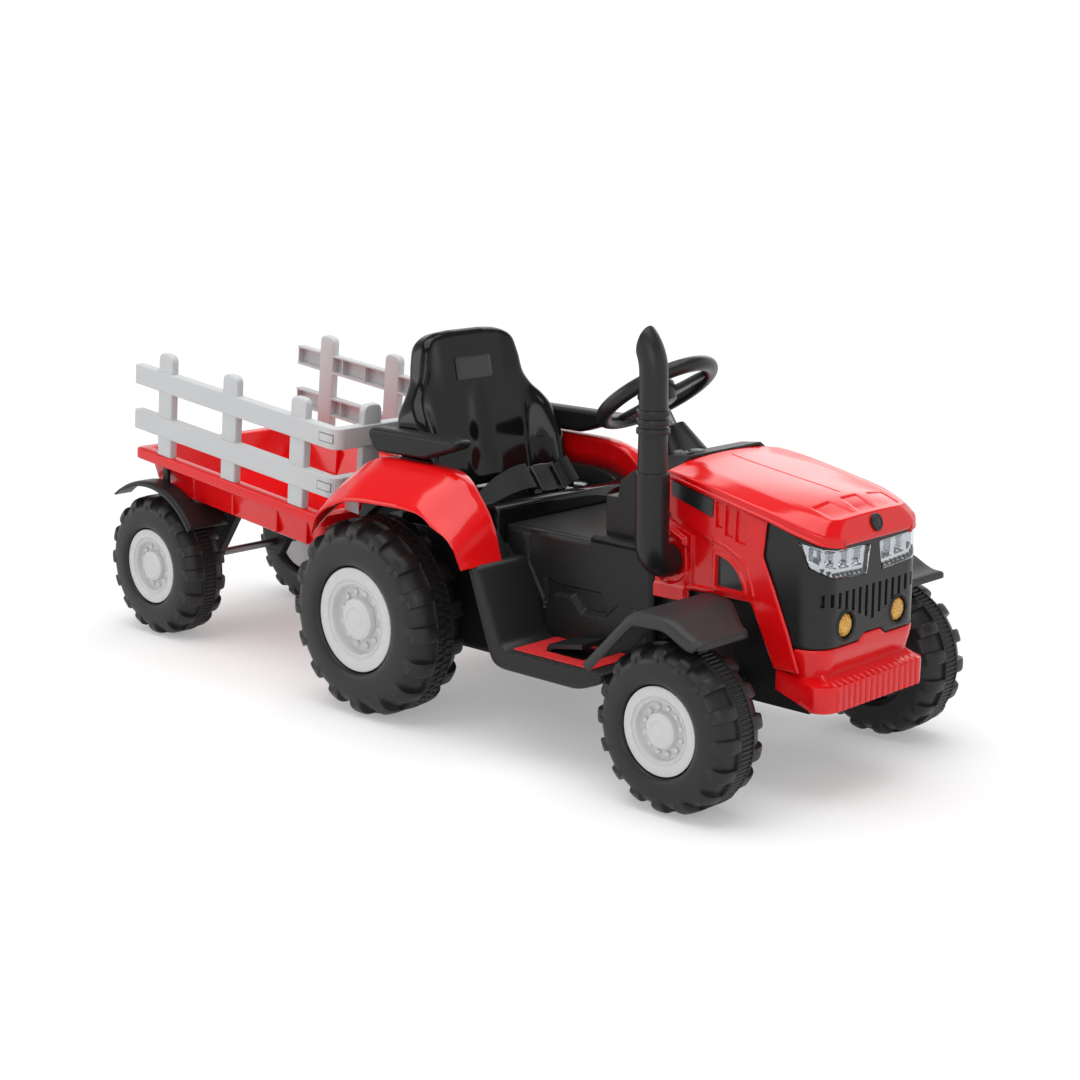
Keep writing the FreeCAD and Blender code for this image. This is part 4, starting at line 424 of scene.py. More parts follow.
# Hood: glossy red shell with a nearly flat top, chamfered shoulders and a
# leaning visor face. A bead runs along the lower edge, one thin groove
# runs down the middle and three shallow fields are sunk behind the visor.
HOOD_SHARES = (
    # forward share, then shares of half-width and drop: lower edge, shoulder, top edge, and the crown's drop
    (0.00, 0.98, 0.30, 0.97, 0.205, 0.62, 0.122, 0.087),
    (0.06, 0.983, 0.327, 0.975, 0.222, 0.60, 0.165, 0.133),
    (0.17, 0.99, 0.39, 0.985, 0.265, 0.645, 0.212, 0.186),
    (0.34, 1.00, 0.49, 0.99, 0.355, 0.705, 0.280, 0.256),
    (0.50, 1.00, 0.585, 0.99, 0.448, 0.711, 0.360, 0.320),
    (0.67, 0.99, 0.69, 0.98, 0.547, 0.722, 0.459, 0.386),
    (0.80, 0.95, 0.81, 0.94, 0.655, 0.707, 0.541, 0.456),
    (0.90, 0.88, 0.91, 0.87, 0.765, 0.68, 0.610, 0.570),
    (0.93, 0.845, 0.945, 0.835, 0.80, 0.663, 0.628, 0.602),
)
NOSE_SHARES = (
    # forward share, half-width shares of the shoulder and the top edge, then the height that is left
    (0.945, 0.818, 0.60, 1.0), (0.957, 0.792, 0.52, 1.0), (0.961, 0.782, 0.515, 0.975),
    (0.966, 0.770, 0.53, 0.90), (0.974, 0.748, 0.58, 0.74), (0.982, 0.722, 0.62, 0.57),
    (0.989, 0.692, 0.64, 0.43), (0.992, 0.676, 0.645, 0.37), (0.9965, 0.645, 0.63, 0.33),
    (0.999, 0.615, 0.605, 0.30), (1.0, 0.580, 0.575, 0.27), (1.0, 0.575, 0.57, 0.10),
    (0.998, 0.570, 0.565, 0.06))
HOOD_REAR, HOOD_LONG, HOOD_TOP, HOOD_HALF, HOOD_DROP = 429.4, 233.4, 399.0, 116.0, 86.0
HOOD_BEAD = ((-2.0, 0.0), (0.0, 0.8), (0.0, 3.2), (-1.3, 4.2), (-1.3, 5.2))
SHOULDER_EASE, TOP_EASE = 4.0, 5.0
GROOVE_RUN_SHARES, GROOVE_DEEP = (0.033, 0.752), 1.4
FIELD_RUN_SHARES, FIELD_DEEP = (0.795, 0.928), 1.3


def eased(before, here, after, radius, count):
    """A corner's short curve, a parabola that starts and ends radius away from it along its two edges, or
    0.45 of an edge where that is less."""
    back, ahead = before - here, after - here
    a = here + back * min(0.45, radius / np.linalg.norm(back))
    b = here + ahead * min(0.45, radius / np.linalg.norm(ahead))
    return [(1 - t) ** 2 * a + 2 * t * (1 - t) * here + t ** 2 * b for t in np.linspace(0, 1, count)]


def gate(value, low, high, ramp):
    """One between low and high and zero outside, with soft edges of width ramp inside the ends."""
    return smooth(value, low, low + ramp) * (1 - smooth(value, high - ramp, high))


def hood_section(row, keep_share):
    """Half of one cross-section, from the lower edge to the crown. From the top edge inwards the crown is a
    parabola, less the groove and the sunk fields; keep_share squeezes all heights to the lower edge."""
    forward, low_w, low_z, side_w, side_z, top_w, top_z, crown_z = row
    low, side, top, crown = (-share * HOOD_DROP for share in (low_z, side_z, top_z, crown_z))
    low_w, side_w, top_w = (share * HOOD_HALF for share in (low_w, side_w, top_w))
    line = [(low_w + out, low + up) for out, up in HOOD_BEAD] + [(side_w, low + 6.6)]
    inward = (0.7 * top_w, crown - (crown - top) * 0.49)
    foot, shoulder, edge, inward = np.array([(side_w, low + 7.0), (side_w, side), (top_w, top), inward])
    bend = eased(foot, shoulder, edge, SHOULDER_EASE, 7)
    line += bend + [bend[-1] + (edge - bend[-1]) * t for t in (0.25, 0.5, 0.75)]
    line += eased(shoulder, edge, inward, TOP_EASE, 7)
    inner = np.interp(forward, FIELD_RUN_SHARES, (0.46, 0.32))
    across = np.concatenate([(0.91, 0.89), np.linspace(0.87, 0.83, 4), np.linspace(0.80, inner + 0.04, 7),
                             inner + np.linspace(0.03, -0.01, 4), np.linspace(inner - 0.03, 0.25, 3),
                             np.linspace(0.23, 0.19, 4), np.linspace(0.16, 0.05, 4),
                             np.array((2.6, 1.9, 1.2, 0.6, 0.0)) / top_w])
    cut = GROOVE_DEEP * (1 - smooth(across * top_w, 0.6, 1.9)) * gate(forward, *GROOVE_RUN_SHARES, 0.02)
    fields = gate(across, inner - 0.01, 0.87, 0.03) + 1 - smooth(across, 0.19, 0.22)
    sunk = FIELD_DEEP * gate(forward, *FIELD_RUN_SHARES, 0.012) * fields
    line += list(zip(across * top_w, crown - (crown - top) * across ** 2 - cut - sunk))
    line = np.array(line)
    line[:, 1] = low + (line[:, 1] - low) * keep_share
    return line


def hood():
    """Cross-sections joined into one sheet. Past the last full section the height falls away along the
    visor's leaning face, down to the bead."""
    rows = curve(HOOD_SHARES, 120)
    sections = [(row[0], hood_section(row, 1.0)) for row in rows]
    last = rows[-1]
    for forward, side_w, top_w, keep_share in NOSE_SHARES:
        ease = (forward - last[0]) / (1.0 - last[0])
        row = np.array([forward, side_w + 0.01, last[2] + 0.045 * ease, side_w, last[4] + 0.045 * ease,
                        top_w, last[6] + 0.03 * ease, last[7] + 0.045 * ease])
        sections.append((forward, hood_section(row, keep_share)))
    points = []
    for forward, half in sections:
        x = HOOD_REAR + HOOD_LONG * forward
        right = np.stack([np.full(len(half), x), -half[:, 0], HOOD_TOP + half[:, 1]], axis=-1)
        left = right[-2::-1] * np.array([1, -1, 1])
        points.append(np.vstack([right, left]))
    shape = Shape()
    shape.grid(np.array(points)[::-1])
    return shape


red_gloss = plastic("red_gloss", (0.66, 0.003, 0.005), (0.74, 0.005, 0.007), rough=0.15, spread=0.03,
                    grain=700.0, relief=0.006, shine=0.42)
piece("hood_skin", hood(), "tractor_body", ["hood"], red_gloss, crisp=38.0, thick=3.0,
      solid=False)


# Nose cap: a plain round dark cap in the middle of the visor, square to its leaning
# face. A raised rim runs round a slightly domed middle, which is left bare.
def turned(shape, profile, origin, axis, start, count=40, closed=False):
    """Turns (along, radius) points about an axis from origin; start is a direction square to the axis. A
    closed profile makes a ring, and an open one is capped at its ends."""
    axis, start = np.array(axis, dtype=float), np.array(start, dtype=float)
    angles = full_turn(count)[:, None]
    round_way = np.cos(angles) * start + np.sin(angles) * np.cross(axis, start)
    rows = [np.asarray(origin) + along * axis + radius * round_way for along, radius in profile]
    shape.grid(rows, wrap_rows=closed, wrap_columns=True, ends=not closed)


black_satin = plastic("black_satin", (0.011, 0.011, 0.0115), (0.016, 0.016, 0.0165), rough=0.34,
                      grain=1300.0, relief=0.05, shine=0.32)
NOSE_CAP_PLACE, NOSE_CAP_AXIS = (658.4, 0, 333.6), (0.95, 0, 0.31)
NOSE_CAP_PROFILE = ((-6.0, 10.6), (1.6, 10.6), (2.4, 10.3), (2.9, 9.6), (2.9, 8.6), (2.2, 8.1), (1.9, 7.4),
                    (2.4, 4.2), (2.6, 0.5))
cap = Shape()
turned(cap, NOSE_CAP_PROFILE, NOSE_CAP_PLACE, NOSE_CAP_AXIS, (0, 1, 0))
piece("nose_cap_skin", cap, "tractor_body", ["nose_cap"], black_satin)


# Side panels: red cheeks with a step that falls forward, three sunk
# louvres, a framed quarter window, a raised rear box with a round bay for
# the exhaust, a bare dark plate and a strip that runs down to the bumper.
def rounded(outline, radius, count=4):
    """The outline with each corner replaced by a short curve that starts and ends radius away from it."""
    outline = np.asarray(outline, dtype=float)
    done = []
    for here, before, after in zip(outline, np.roll(outline, 1, axis=0), np.roll(outline, -1, axis=0)):
        done += eased(before, here, after, radius, count)
    return np.array(done)


def signed_reach(points, outline):
    """Distance from each point to the outline, positive inside it."""
    start, end = outline, np.roll(outline, -1, axis=0)
    best = np.full(len(points), 1e9)
    crossed = np.zeros(len(points), dtype=bool)
    for (ax, ay), (bx, by) in zip(start, end):
        along_x, along_y = bx - ax, by - ay
        length = along_x ** 2 + along_y ** 2
        share = np.clip(((points[:, 0] - ax) * along_x + (points[:, 1] - ay) * along_y) / length, 0, 1)
        gap = np.hypot(points[:, 0] - ax - share * along_x, points[:, 1] - ay - share * along_y)
        best = np.minimum(best, gap)
        if ay != by:
            spans = (ay > points[:, 1]) != (by > points[:, 1])
            crossed ^= spans & (points[:, 0] < ax + (points[:, 1] - ay) / (by - ay) * along_x)
    return np.where(crossed, best, -best)


def relief(points, features):
    """Height over flat points: each feature is an outline, a height inside it and the width of its ramp."""
    height = np.zeros(len(points))
    for outline, rise, ramp in features:
        height += rise * smooth(signed_reach(points, np.asarray(outline, dtype=float)), 0.0, ramp)
    return height


def circle(middle, radius, count=32):
    """Outline points of a circle."""
    angles = full_turn(count)
    return np.stack([middle[0] + radius * np.cos(angles), middle[1] + radius * np.sin(angles)], axis=-1)


def spaced(line, step):
    """An open line with points added so that none lie further apart than step."""
    done = []
    for here, there in zip(line[:-1], line[1:]):
        count = max(1, int(np.ceil(np.linalg.norm(there - here) / step)))
        done += [here + (there - here) * k / count for k in range(count)]
    return np.array(done + [line[-1]])


def densified(outline, step):
    """The closed outline with points added so that none lie further apart than step."""
    outline = np.asarray(outline, dtype=float)
    return spaced(np.vstack([outline, outline[:1]]), step)[:-1]


def signed_area(outline):
    """Twice the area of an outline, positive where it runs anticlockwise."""
    x, y = outline[:, 0], outline[:, 1]
    return np.sum(x * np.roll(y, -1) - y * np.roll(x, -1))


def inset(outline, distance):
    """The outline moved inwards by distance along mitred corners."""
    outline = np.asarray(outline, dtype=float)
    before = outline - np.roll(outline, 1, axis=0)
    after = np.roll(outline, -1, axis=0) - outline
    turn = np.array([(-v[:, 1], v[:, 0]) / np.linalg.norm(v, axis=1) for v in (before, after)])
    first, second = turn[0].T, turn[1].T
    blend = (first + second) / (1.0 + np.sum(first * second, axis=1))[:, None].clip(0.3)
    return outline + blend * distance * (1 if signed_area(outline) > 0 else -1)


RAMP_SHARES = (-0.15, 0.0, 0.33, 0.67, 1.0, 1.25)


def field(outline, step, features=()):
    """Triangles over a flat outline: a field of points at step, with closer rows along the features' ramps.
    Gives the points, the faces and the height of the features at each point."""
    edge = densified(outline, step)
    if signed_area(edge) < 0:
        edge = edge[::-1]
    low, high = edge.min(axis=0), edge.max(axis=0)
    across = np.arange(low[0], high[0], step)
    up = np.arange(low[1], high[1], step)
    extra = [np.stack(np.meshgrid(across, up), axis=-1).reshape(-1, 2)]
    for shape, _, ramp in features:
        for share in RAMP_SHARES:
            extra.append(densified(inset(shape, ramp * share), step * 0.6))
    extra = np.concatenate(extra)
    extra = extra[signed_reach(extra, edge) > step * 0.35]
    points = np.concatenate([edge, extra])
    border = [(k, (k + 1) % len(edge)) for k in range(len(edge))]
    made = delaunay_2d_cdt([tuple(p) for p in points], border, [list(range(len(edge)))], 1, 1e-4)
    flat = np.array([tuple(v) for v in made[0]])
    return flat, [list(f) for f in made[2]], relief(flat, features)


SIDE_OUTLINE = ((429, 373), (429, 299), (402, 262), (402, 221), (464.6, 221), (464.6, 237), (558, 237),
                (594.5, 163), (633, 163), (616, 209), (593, 261), (576, 296), (581, 340.5), (508.5, 356.8))
SIDE_BOX = ((400, 262), (426, 299), (426, 318), (460, 302), (464.6, 221), (400, 219))
SIDE_WINDOW = ((505.5, 289.5), (524, 284), (534, 277), (541, 269), (547, 257), (549.5, 247), (505, 247.5))
SIDE_STEP = ((422, 331), (431, 330.5), (480, 310.5), (500, 303), (500, 243), (467, 243), (467, 305),
             (422, 324))
SIDE_STRIP = ((500, 303), (518, 298.5), (543, 285), (551, 276), (563, 241), (566, 246), (556, 279),
              (546, 290.5), (520, 303), (501, 309))
SIDE_FEATURES = (
    # an outline, its height over the panel and the width of its ramp
    (SIDE_BOX, 6.0, 3.0),
    (circle((437, 272), 31, 36), -5.0, 4.0),
    (((396, 243), (470, 243), (470, 210), (396, 210)), 1.5, 5.0),
    (SIDE_STEP, -4.0, 1.8),
    (((503.8, 353.5), (514.8, 351.4), (514.6, 321.5), (504.4, 322)), -3.5, 1.2),
    (((519.2, 350.6), (532.2, 348), (530.4, 311.5), (518.4, 313.5)), -3.5, 1.2),
    (((535.8, 346.6), (552.8, 343.2), (550.4, 305.5), (534.2, 308.5)), -3.5, 1.2),
    (inset(rounded(SIDE_WINDOW[::-1], 2.0), -5.0), 1.4, 1.6),
    (rounded(SIDE_WINDOW[::-1], 2.0), -6.0, 1.6),
    (SIDE_STRIP, 1.8, 2.0),
)
SIDE_PLANE, GLASS_PLANES, PLATE_PLANES = 111.0, (104.0, 107.4), (110.6, 112.6)
SIDE_ROLL, SIDE_ROLL_DEEP = 2.4, 1.6
side_edge = rounded(SIDE_OUTLINE, 2.5, 3)
flat, faces, height = field(side_edge, 2.4, SIDE_FEATURES)
height = height - SIDE_ROLL_DEEP * (1 - smooth(signed_reach(flat, side_edge), 0.0, SIDE_ROLL))
window_glass = plastic("window_dark", (0.026, 0.027, 0.028), (0.034, 0.035, 0.037), rough=0.20,
                       spread=0.04, relief=0.01, shine=0.4)
plate_black = plastic("plate_black", (0.010, 0.010, 0.011), (0.016, 0.016, 0.017), rough=0.28, relief=0.02)
PLATE = ((435.5, 370.2), (501, 355.0), (500, 332.8), (436.5, 351.4))


def slab(shape, outline, low, high, edge=2.0, steps=4, axes="xzy"):
    """Closed prism over an outline from low to high with its rims rounded by edge; axes names the outline's
    two directions and then the way it is raised."""
    outline = np.asarray(outline, dtype=float)
    rings = [(low + edge * (1 - cos(t)), edge * (1 - sin(t))) for t in np.linspace(0, pi / 2, steps)]
    rings += [(high - edge * (1 - cos(t)), edge * (1 - sin(t))) for t in np.linspace(pi / 2, 0, steps)]
    order = ["xyz".index(letter) for letter in axes]
    rows = []
    for level, inward in rings:
        ring = np.zeros((len(outline), 3))
        ring[:, order[:2]] = inset(outline, inward)
        ring[:, order[2]] = level
        rows.append(ring)
    shape.grid(rows, wrap_columns=True, ends=True)


def between(side, near, far):
    """Two distances from the middle plane as places on one side, the lower one first."""
    return sorted((side * near, side * far))


glass = Shape()
for hand, side in HANDS:
    cheek = Shape()
    cheek.add(np.stack([flat[:, 0], side * (SIDE_PLANE + height), flat[:, 1]], axis=-1),
              [face if side < 0 else face[::-1] for face in faces])
    piece(f"side_panel_{hand}_skin", cheek, "tractor_body", [f"side_panel_{hand}"], red_gloss,
          crisp=50.0, thick=3.0, solid=False)
    slab(glass, inset(SIDE_WINDOW[::-1], 0.4), *between(side, *GLASS_PLANES), edge=0.6)
    plate = Shape()
    slab(plate, rounded(PLATE[::-1], 2.0), *between(side, *PLATE_PLANES), edge=0.5)
    piece(f"side_plate_{hand}", plate, "tractor_body", [], plate_black)
piece("side_windows_skin", glass, "tractor_body", ["side_windows"], window_glass)


# Grille panel: a satin black wrap round the nose with fifteen upright slots that hang to a shallow point,
# two lamp openings under the visor, two round bays for the fog lamps and a notch for the apron's tab.
NOSE = {"front": 658.0, "flat": 72.6, "round": 34.0}
GRILLE_LOW, GRILLE_SIDE = 193.4, 183.0
TAB = ((-28.0, 0.0), (-17.0, 8.0), (17.0, 8.0), (28.0, 0.0))


def wrapped(along, up, out, plan=NOSE):
    """Places flat (along, up) points round the nose: straight across, a quarter round each side, then back.
    out stands off the surface; along is measured on the surface from the middle, positive to the left."""
    along, up = np.asarray(along, dtype=float), np.asarray(up, dtype=float)
    reach = np.abs(along)
    turn = np.clip((reach - plan["flat"]) / plan["round"], 0.0, pi / 2)
    back = np.maximum(reach - plan["flat"] - plan["round"] * pi / 2, 0.0)
    x = plan["front"] - plan["round"] + (plan["round"] + out) * np.cos(turn) - back
    y = np.minimum(reach, plan["flat"]) + (plan["round"] + out) * np.sin(turn)
    return np.stack(np.broadcast_arrays(x, np.sign(along) * y, up), axis=-1)


def visor_edge(x):
    """Height of the hood's lower edge at a place along the tractor."""
    table = np.array(HOOD_SHARES)
    return HOOD_TOP - HOOD_DROP * np.interp((x - HOOD_REAR) / HOOD_LONG, table[:, 0], table[:, 2])


def both_hands(outline):
    """An outline on the left half and its mirror on the right half."""
    outline = np.asarray(outline, dtype=float)
    return outline, outline[::-1] * np.array([-1.0, 1.0])


LAMP = rounded(((15.5, 273), (79, 276.5), (112.7, 290), (126.5, 321), (100, 315), (72, 311), (9, 309)), 2.5)
LAMP_DEEP = 16.0
FOG_Y, FOG_Z = 54.0, 217.0
FOG_BAYS = ((20.6, 1.6), (18.0, -9.0))
SLOT_COUNT, SLOT_PITCH, SLOT_HALF, SLOT_TOP, SLOT_DEEP = 15, 13.5, 2.7, 259.0, 5.0
SLOT_FEET = ((0, 47, 80, 100), (216, 235, 243, 244))
features = []
for k in range(SLOT_COUNT):
    middle = (k - SLOT_COUNT // 2) * SLOT_PITCH
    foot = np.interp(abs(middle), *SLOT_FEET)
    left, right = middle - SLOT_HALF, middle + SLOT_HALF
    slot = ((left, foot), (right, foot), (right, SLOT_TOP), (left, SLOT_TOP))
    features.append((slot, -SLOT_DEEP, 1.0))
for lamp in both_hands(LAMP):
    features.append((lamp, -LAMP_DEEP, 1.0))
for side in SIDES:
    for radius, rise in FOG_BAYS:
        features.append((circle((side * FOG_Y, FOG_Z), radius), rise, 2.0))
edge_along = np.linspace(GRILLE_SIDE, -GRILLE_SIDE, 100)
edge_top = visor_edge(wrapped(edge_along, 0.0, 0.0)[:, 0]) - 0.6
lower_edge = [(-GRILLE_SIDE, 0.0), *TAB, (GRILLE_SIDE, 0.0)]
grille_outline = [(a, GRILLE_LOW + b) for a, b in lower_edge] + list(zip(edge_along, edge_top))
flat, faces, height = field(grille_outline, 3.6, features)
grille = Shape()
grille.add(wrapped(flat[:, 0], flat[:, 1], height), faces)
piece("grille_skin", grille, "tractor_body", ["grille_panel"], black_satin, crisp=45.0,
      thick=2.2, solid=False)


# Headlamps: on each side a clear cover over four bright bowls, and under them a pale strip
# with nine dark wedges. They are drawn flat and wrapped round the nose like the grille panel.
def chrome(name, tone, rough):
    """Bright plating: a metal tone that drifts slightly, and a roughness with faint smears."""
    made = plastic(name, tone, tuple(0.9 * c for c in tone), rough=rough, spread=0.04, grain=400.0,
                   relief=0.02)
    feed(made.node_tree.nodes["Principled BSDF"], metallic=1.0)
    return made


def clear_cover(name):
    """Thin clear plastic: light goes straight through, and gloss grows towards grazing angles."""
    made = bpy.data.materials.new(name)
    made.use_nodes = True
    tree = made.node_tree
    tree.nodes.remove(tree.nodes["Principled BSDF"])
    where = node(tree, "ShaderNodeTexCoord").outputs["Object"]
    slow = node(tree, "ShaderNodeTexNoise", vector=where, scale=30.0, detail=2.0)
    span = node(tree, "ShaderNodeMapRange", value=slow.outputs[0], to_min=0.02, to_max=0.07)
    through = node(tree, "ShaderNodeBsdfTransparent", color=(0.97, 0.98, 0.99, 1.0))
    shine = node(tree, "ShaderNodeBsdfGlossy", color=WHITE, roughness=span.outputs[0])
    edge = node(tree, "ShaderNodeFresnel", ior=1.45)
    facing = node(tree, "ShaderNodeNewGeometry")
    outer = node(tree, "ShaderNodeMath", edge.outputs[0], facing.outputs["Backfacing"], operation="SUBTRACT",
                 use_clamp=True)
    mix = node(tree, "ShaderNodeMixShader", outer.outputs[0], through.outputs[0], shine.outputs[0])
    tree.links.new(mix.outputs[0], tree.nodes["Material Output"].inputs[0])
    return made


bowl_chrome = chrome("bowl_chrome", (0.58, 0.59, 0.60), 0.09)
lamp_clear = clear_cover("lamp_clear")
LAMP_GAP, COVER_OUT, BOWL_OUT, WEDGE_SPAN = 0.7, 0.8, -3.5, (-4.0, -1.6)
BOWL_EDGES, BOWL_DEEP = ((19, 42), (45, 68), (71, 93), (96, 115)), 12.0
BOWL_FEET, BOWL_TOPS = ((15, 79, 113), (284, 287, 299)), ((9, 72, 126), (307, 309, 319))
WEDGE_COUNT, WEDGE_START, WEDGE_PITCH, WEDGE_FEET = 9, 22.0, 9.2, ((15, 79, 113), (274.6, 278, 291))
WEDGE_SHAPE = ((-3.2, 4.6), (-0.6, 0.0), (0.6, 0.0), (3.2, 4.6))
cover, bowls, wedges = Shape(), Shape(), Shape()
for hand, lamp in enumerate(both_hands(LAMP)):
    opening = inset(lamp, LAMP_GAP)
    flat, faces, _ = field(opening, 4.0)
    cover.add(wrapped(flat[:, 0], flat[:, 1], COVER_OUT), faces)
    features = []
    for near, far in BOWL_EDGES:
        low, high = np.interp((near, far), *BOWL_FEET), np.interp((near, far), *BOWL_TOPS)
        bowl = ((near, low[0]), (far, low[1]), (far, high[1]), (near, high[0]))
        features.append((both_hands(rounded(bowl, 3.0, 3))[hand], -BOWL_DEEP, 6.0))
    flat, faces, height = field(opening, 1.8, features)
    bowls.add(wrapped(flat[:, 0], flat[:, 1], height + BOWL_OUT), faces)
    for k in range(WEDGE_COUNT):
        middle = WEDGE_START + WEDGE_PITCH * k
        foot = np.interp(middle, *WEDGE_FEET) + 0.6
        wedge = both_hands([(middle + across, foot + up) for across, up in WEDGE_SHAPE])[hand]
        rows = [wrapped(wedge[:, 0], wedge[:, 1], out) for out in WEDGE_SPAN]
        wedges.grid(rows, wrap_columns=True, ends=True)
piece("lamp_cover_skin", cover, "tractor_body", ["headlamp_lenses"], lamp_clear, thick=1.2,
      solid=False)
piece("lamp_bowl_skin", bowls, "tractor_body", ["headlamp_reflectors"], bowl_chrome,
      crisp=60.0, thick=1.0, solid=False)
piece("lamp_wedges", wedges, "tractor_body", [], plate_black)


# Fog lamps: domed amber lenses, cut inside like a gem. Each
# stands in a black round bezel in its bay of the grille panel.
def embossed(made, kind, strength, distance, invert=False, **values):
    """Gives a plastic the relief of a texture node of that kind in place of its grain."""
    tree = made.node_tree
    where = node(tree, "ShaderNodeTexCoord").outputs["Object"]
    texture = node(tree, kind, vector=where, **values)
    bump = node(tree, "ShaderNodeBump", height=texture.outputs[0], strength=strength, distance=distance,
                invert=invert)
    feed(tree.nodes["Principled BSDF"], normal=bump.outputs[0])
    return made


def amber_lens(name):
    """Clear amber plastic whose inside is cut into small facets, bright where a facet catches the light."""
    made = plastic(name, (0.82, 0.30, 0.004), (0.98, 0.55, 0.02), rough=0.14, spread=0.04, relief=0.01,
                   cloud=160.0, coat=0.6)
    feed(made.node_tree.nodes["Principled BSDF"], transmission_weight=0.15)
    return embossed(made, "ShaderNodeTexVoronoi", 1.0, 0.004, scale=210.0)


fog_amber = amber_lens("fog_amber")
FOG_BASE = 649.0
LENS_PROFILE = ((0.0, 15.2), (4.0, 15.2), (6.6, 14.5), (8.8, 12.2), (10.4, 8.2), (11.2, 4.0), (11.5, 0.4))
BEZEL_PROFILE = ((-2.0, 17.6), (9.6, 17.6), (10.6, 17.0), (10.6, 16.4), (9.4, 15.6), (-2.0, 15.6))
fog, bezels = Shape(), Shape()
for side in SIDES:
    middle = (FOG_BASE, side * FOG_Y, FOG_Z)
    turned(fog, LENS_PROFILE, middle, (1, 0, 0), (0, 1, 0))
    turned(bezels, BEZEL_PROFILE, middle, (1, 0, 0), (0, 1, 0), 48, closed=True)
piece("fog_lens_skin", fog, "tractor_body", ["fog_lamps"], fog_amber)
piece("fog_bezels", bezels, "tractor_body", [], black_satin)


# Bumper: a red step across the nose whose front is ribbed up and over its
# top edge, with slimmer arms that run back at the sides, and an apron that
# rises from the back of the step to the grille, with a tab in the middle.
STEP_PLAN = {"front": 673.0, "flat": 84.0, "round": 26.0}
STEP_CORNER = STEP_PLAN["flat"] + STEP_PLAN["round"] * pi / 2
STEP_BACK = STEP_CORNER + 50.0
STEP_TOP, ARM_LIFT, ARM_RUN = 164.0, 0.40, 54.0
ARM_CREST, CREST_LOW, CREST_HIGH = 7.5, 140.0, 160.0
RIB_COUNT, RIB_PITCH, RIB_DEEP = 15, 11.6, 2.6
STEP_FRONT = ((-1.6, 118.0, 0.0), (0.0, 119.6, 1.0), (0.0, 140.0, 1.0), (0.0, 147.0, 1.0),
              (-0.8, 150.0, 1.0))
STEP_OVER = ((-2.6, 152.0, 0.8), (-5.5, 153.2, 0.5), (-9.0, 154.2, 0.2), (-12.0, 155.4, 0.0),
             (-17.0, 158.4, 0.0), (-20.5, 162.0, 0.0), (-23.0, 166.0, 0.0), (-24.0, 118.0, 0.0))
APRON_LOW, APRON_HIGH, APRON_TUCK, APRON_ROLL = 152.0, GRILLE_LOW - 1.0, 6.8, 1.2
APRON_HALF_LINE = ((145.0, APRON_LOW), (145.0, 172.0), (126.0, APRON_HIGH), (30.0, APRON_HIGH))
ribbed = RIB_COUNT * RIB_PITCH / 2
along = np.unique(np.concatenate([np.linspace(-STEP_BACK, STEP_BACK, 60),
                                  np.linspace(-ribbed, ribbed, RIB_COUNT * 12 + 1)]))
phase = np.abs((along / RIB_PITCH) % 1.0 - 0.5)
rib = RIB_DEEP * smooth(phase, 0.06, 0.22) * (np.abs(along) <= ribbed)
rows = []
for a, lift in zip(along, rib):
    behind = np.clip((abs(a) - STEP_BACK + ARM_RUN) / ARM_RUN, 0.0, 1.0)
    profile = [(out - RIB_DEEP + lift * share, level) for out, level, share in STEP_FRONT]
    profile += [(out - RIB_DEEP, level + (lift - RIB_DEEP) * share) for out, level, share in STEP_OVER]
    row = []
    for out, level in profile:
        slimmed = ARM_LIFT * (STEP_TOP - level) + ARM_CREST * (CREST_LOW < level < CREST_HIGH)
        row.append(wrapped(a, level + behind * slimmed, out, STEP_PLAN))
    rows.append(row)
bumper = Shape()
bumper.grid(rows, wrap_columns=True, ends=True)
left_line, right_line = both_hands(APRON_HALF_LINE)
apron_outline = np.array([right_line[-1], *left_line, *((a, APRON_HIGH + b) for a, b in TAB[::-1]),
                          *right_line[:-1]])
flat, faces, _ = field(apron_outline, 3.5)
tuck = APRON_TUCK * (1 - smooth(flat[:, 1], APRON_LOW, 190.0))
tuck += APRON_ROLL * (1 - smooth(signed_reach(flat, apron_outline), 0.0, 2.5))
apron = Shape()
apron.add(wrapped(flat[:, 0], flat[:, 1], 0.8 - tuck), faces)
piece("bumper_skin", bumper, "tractor_body", ["bumper"], red_gloss, crisp=50.0)
piece("bumper_apron", apron, "tractor_body", [], red_gloss, crisp=50.0, thick=2.5,
      solid=False)


# Front fenders: dark grey plates bent over the front tyres, with a rounded outer flange and a short nose
# that drops at the front. Towards the hood the plate widens to meet the body and narrows again to its nose.
def bent(points, radius, count=6):
    """An open line with its corners eased by short curves that start and end radius away from them."""
    points = np.asarray(points, dtype=float)
    done = [points[0]]
    for before, here, after in zip(points[:-2], points[1:-1], points[2:]):
        done += eased(before, here, after, radius, count)
    done.append(points[-1])
    return np.array(done)


def draped(shape, line, sections, side):
    """A sheet along an (x, z) line that runs forward: sections holds (across, drop) points for each place,
    and drop is measured square to the line."""
    slope = np.gradient(line, axis=0)
    square = np.stack([-slope[:, 1], slope[:, 0]], axis=-1)
    square /= np.linalg.norm(square, axis=1)[:, None]
    across, drop = sections[..., 0], sections[..., 1]
    x = line[:, :1] - square[:, :1] * drop
    z = line[:, 1:] - square[:, 1:] * drop
    points = np.stack([x, side * across, z], axis=-1)
    shape.grid(points if side < 0 else points[::-1])


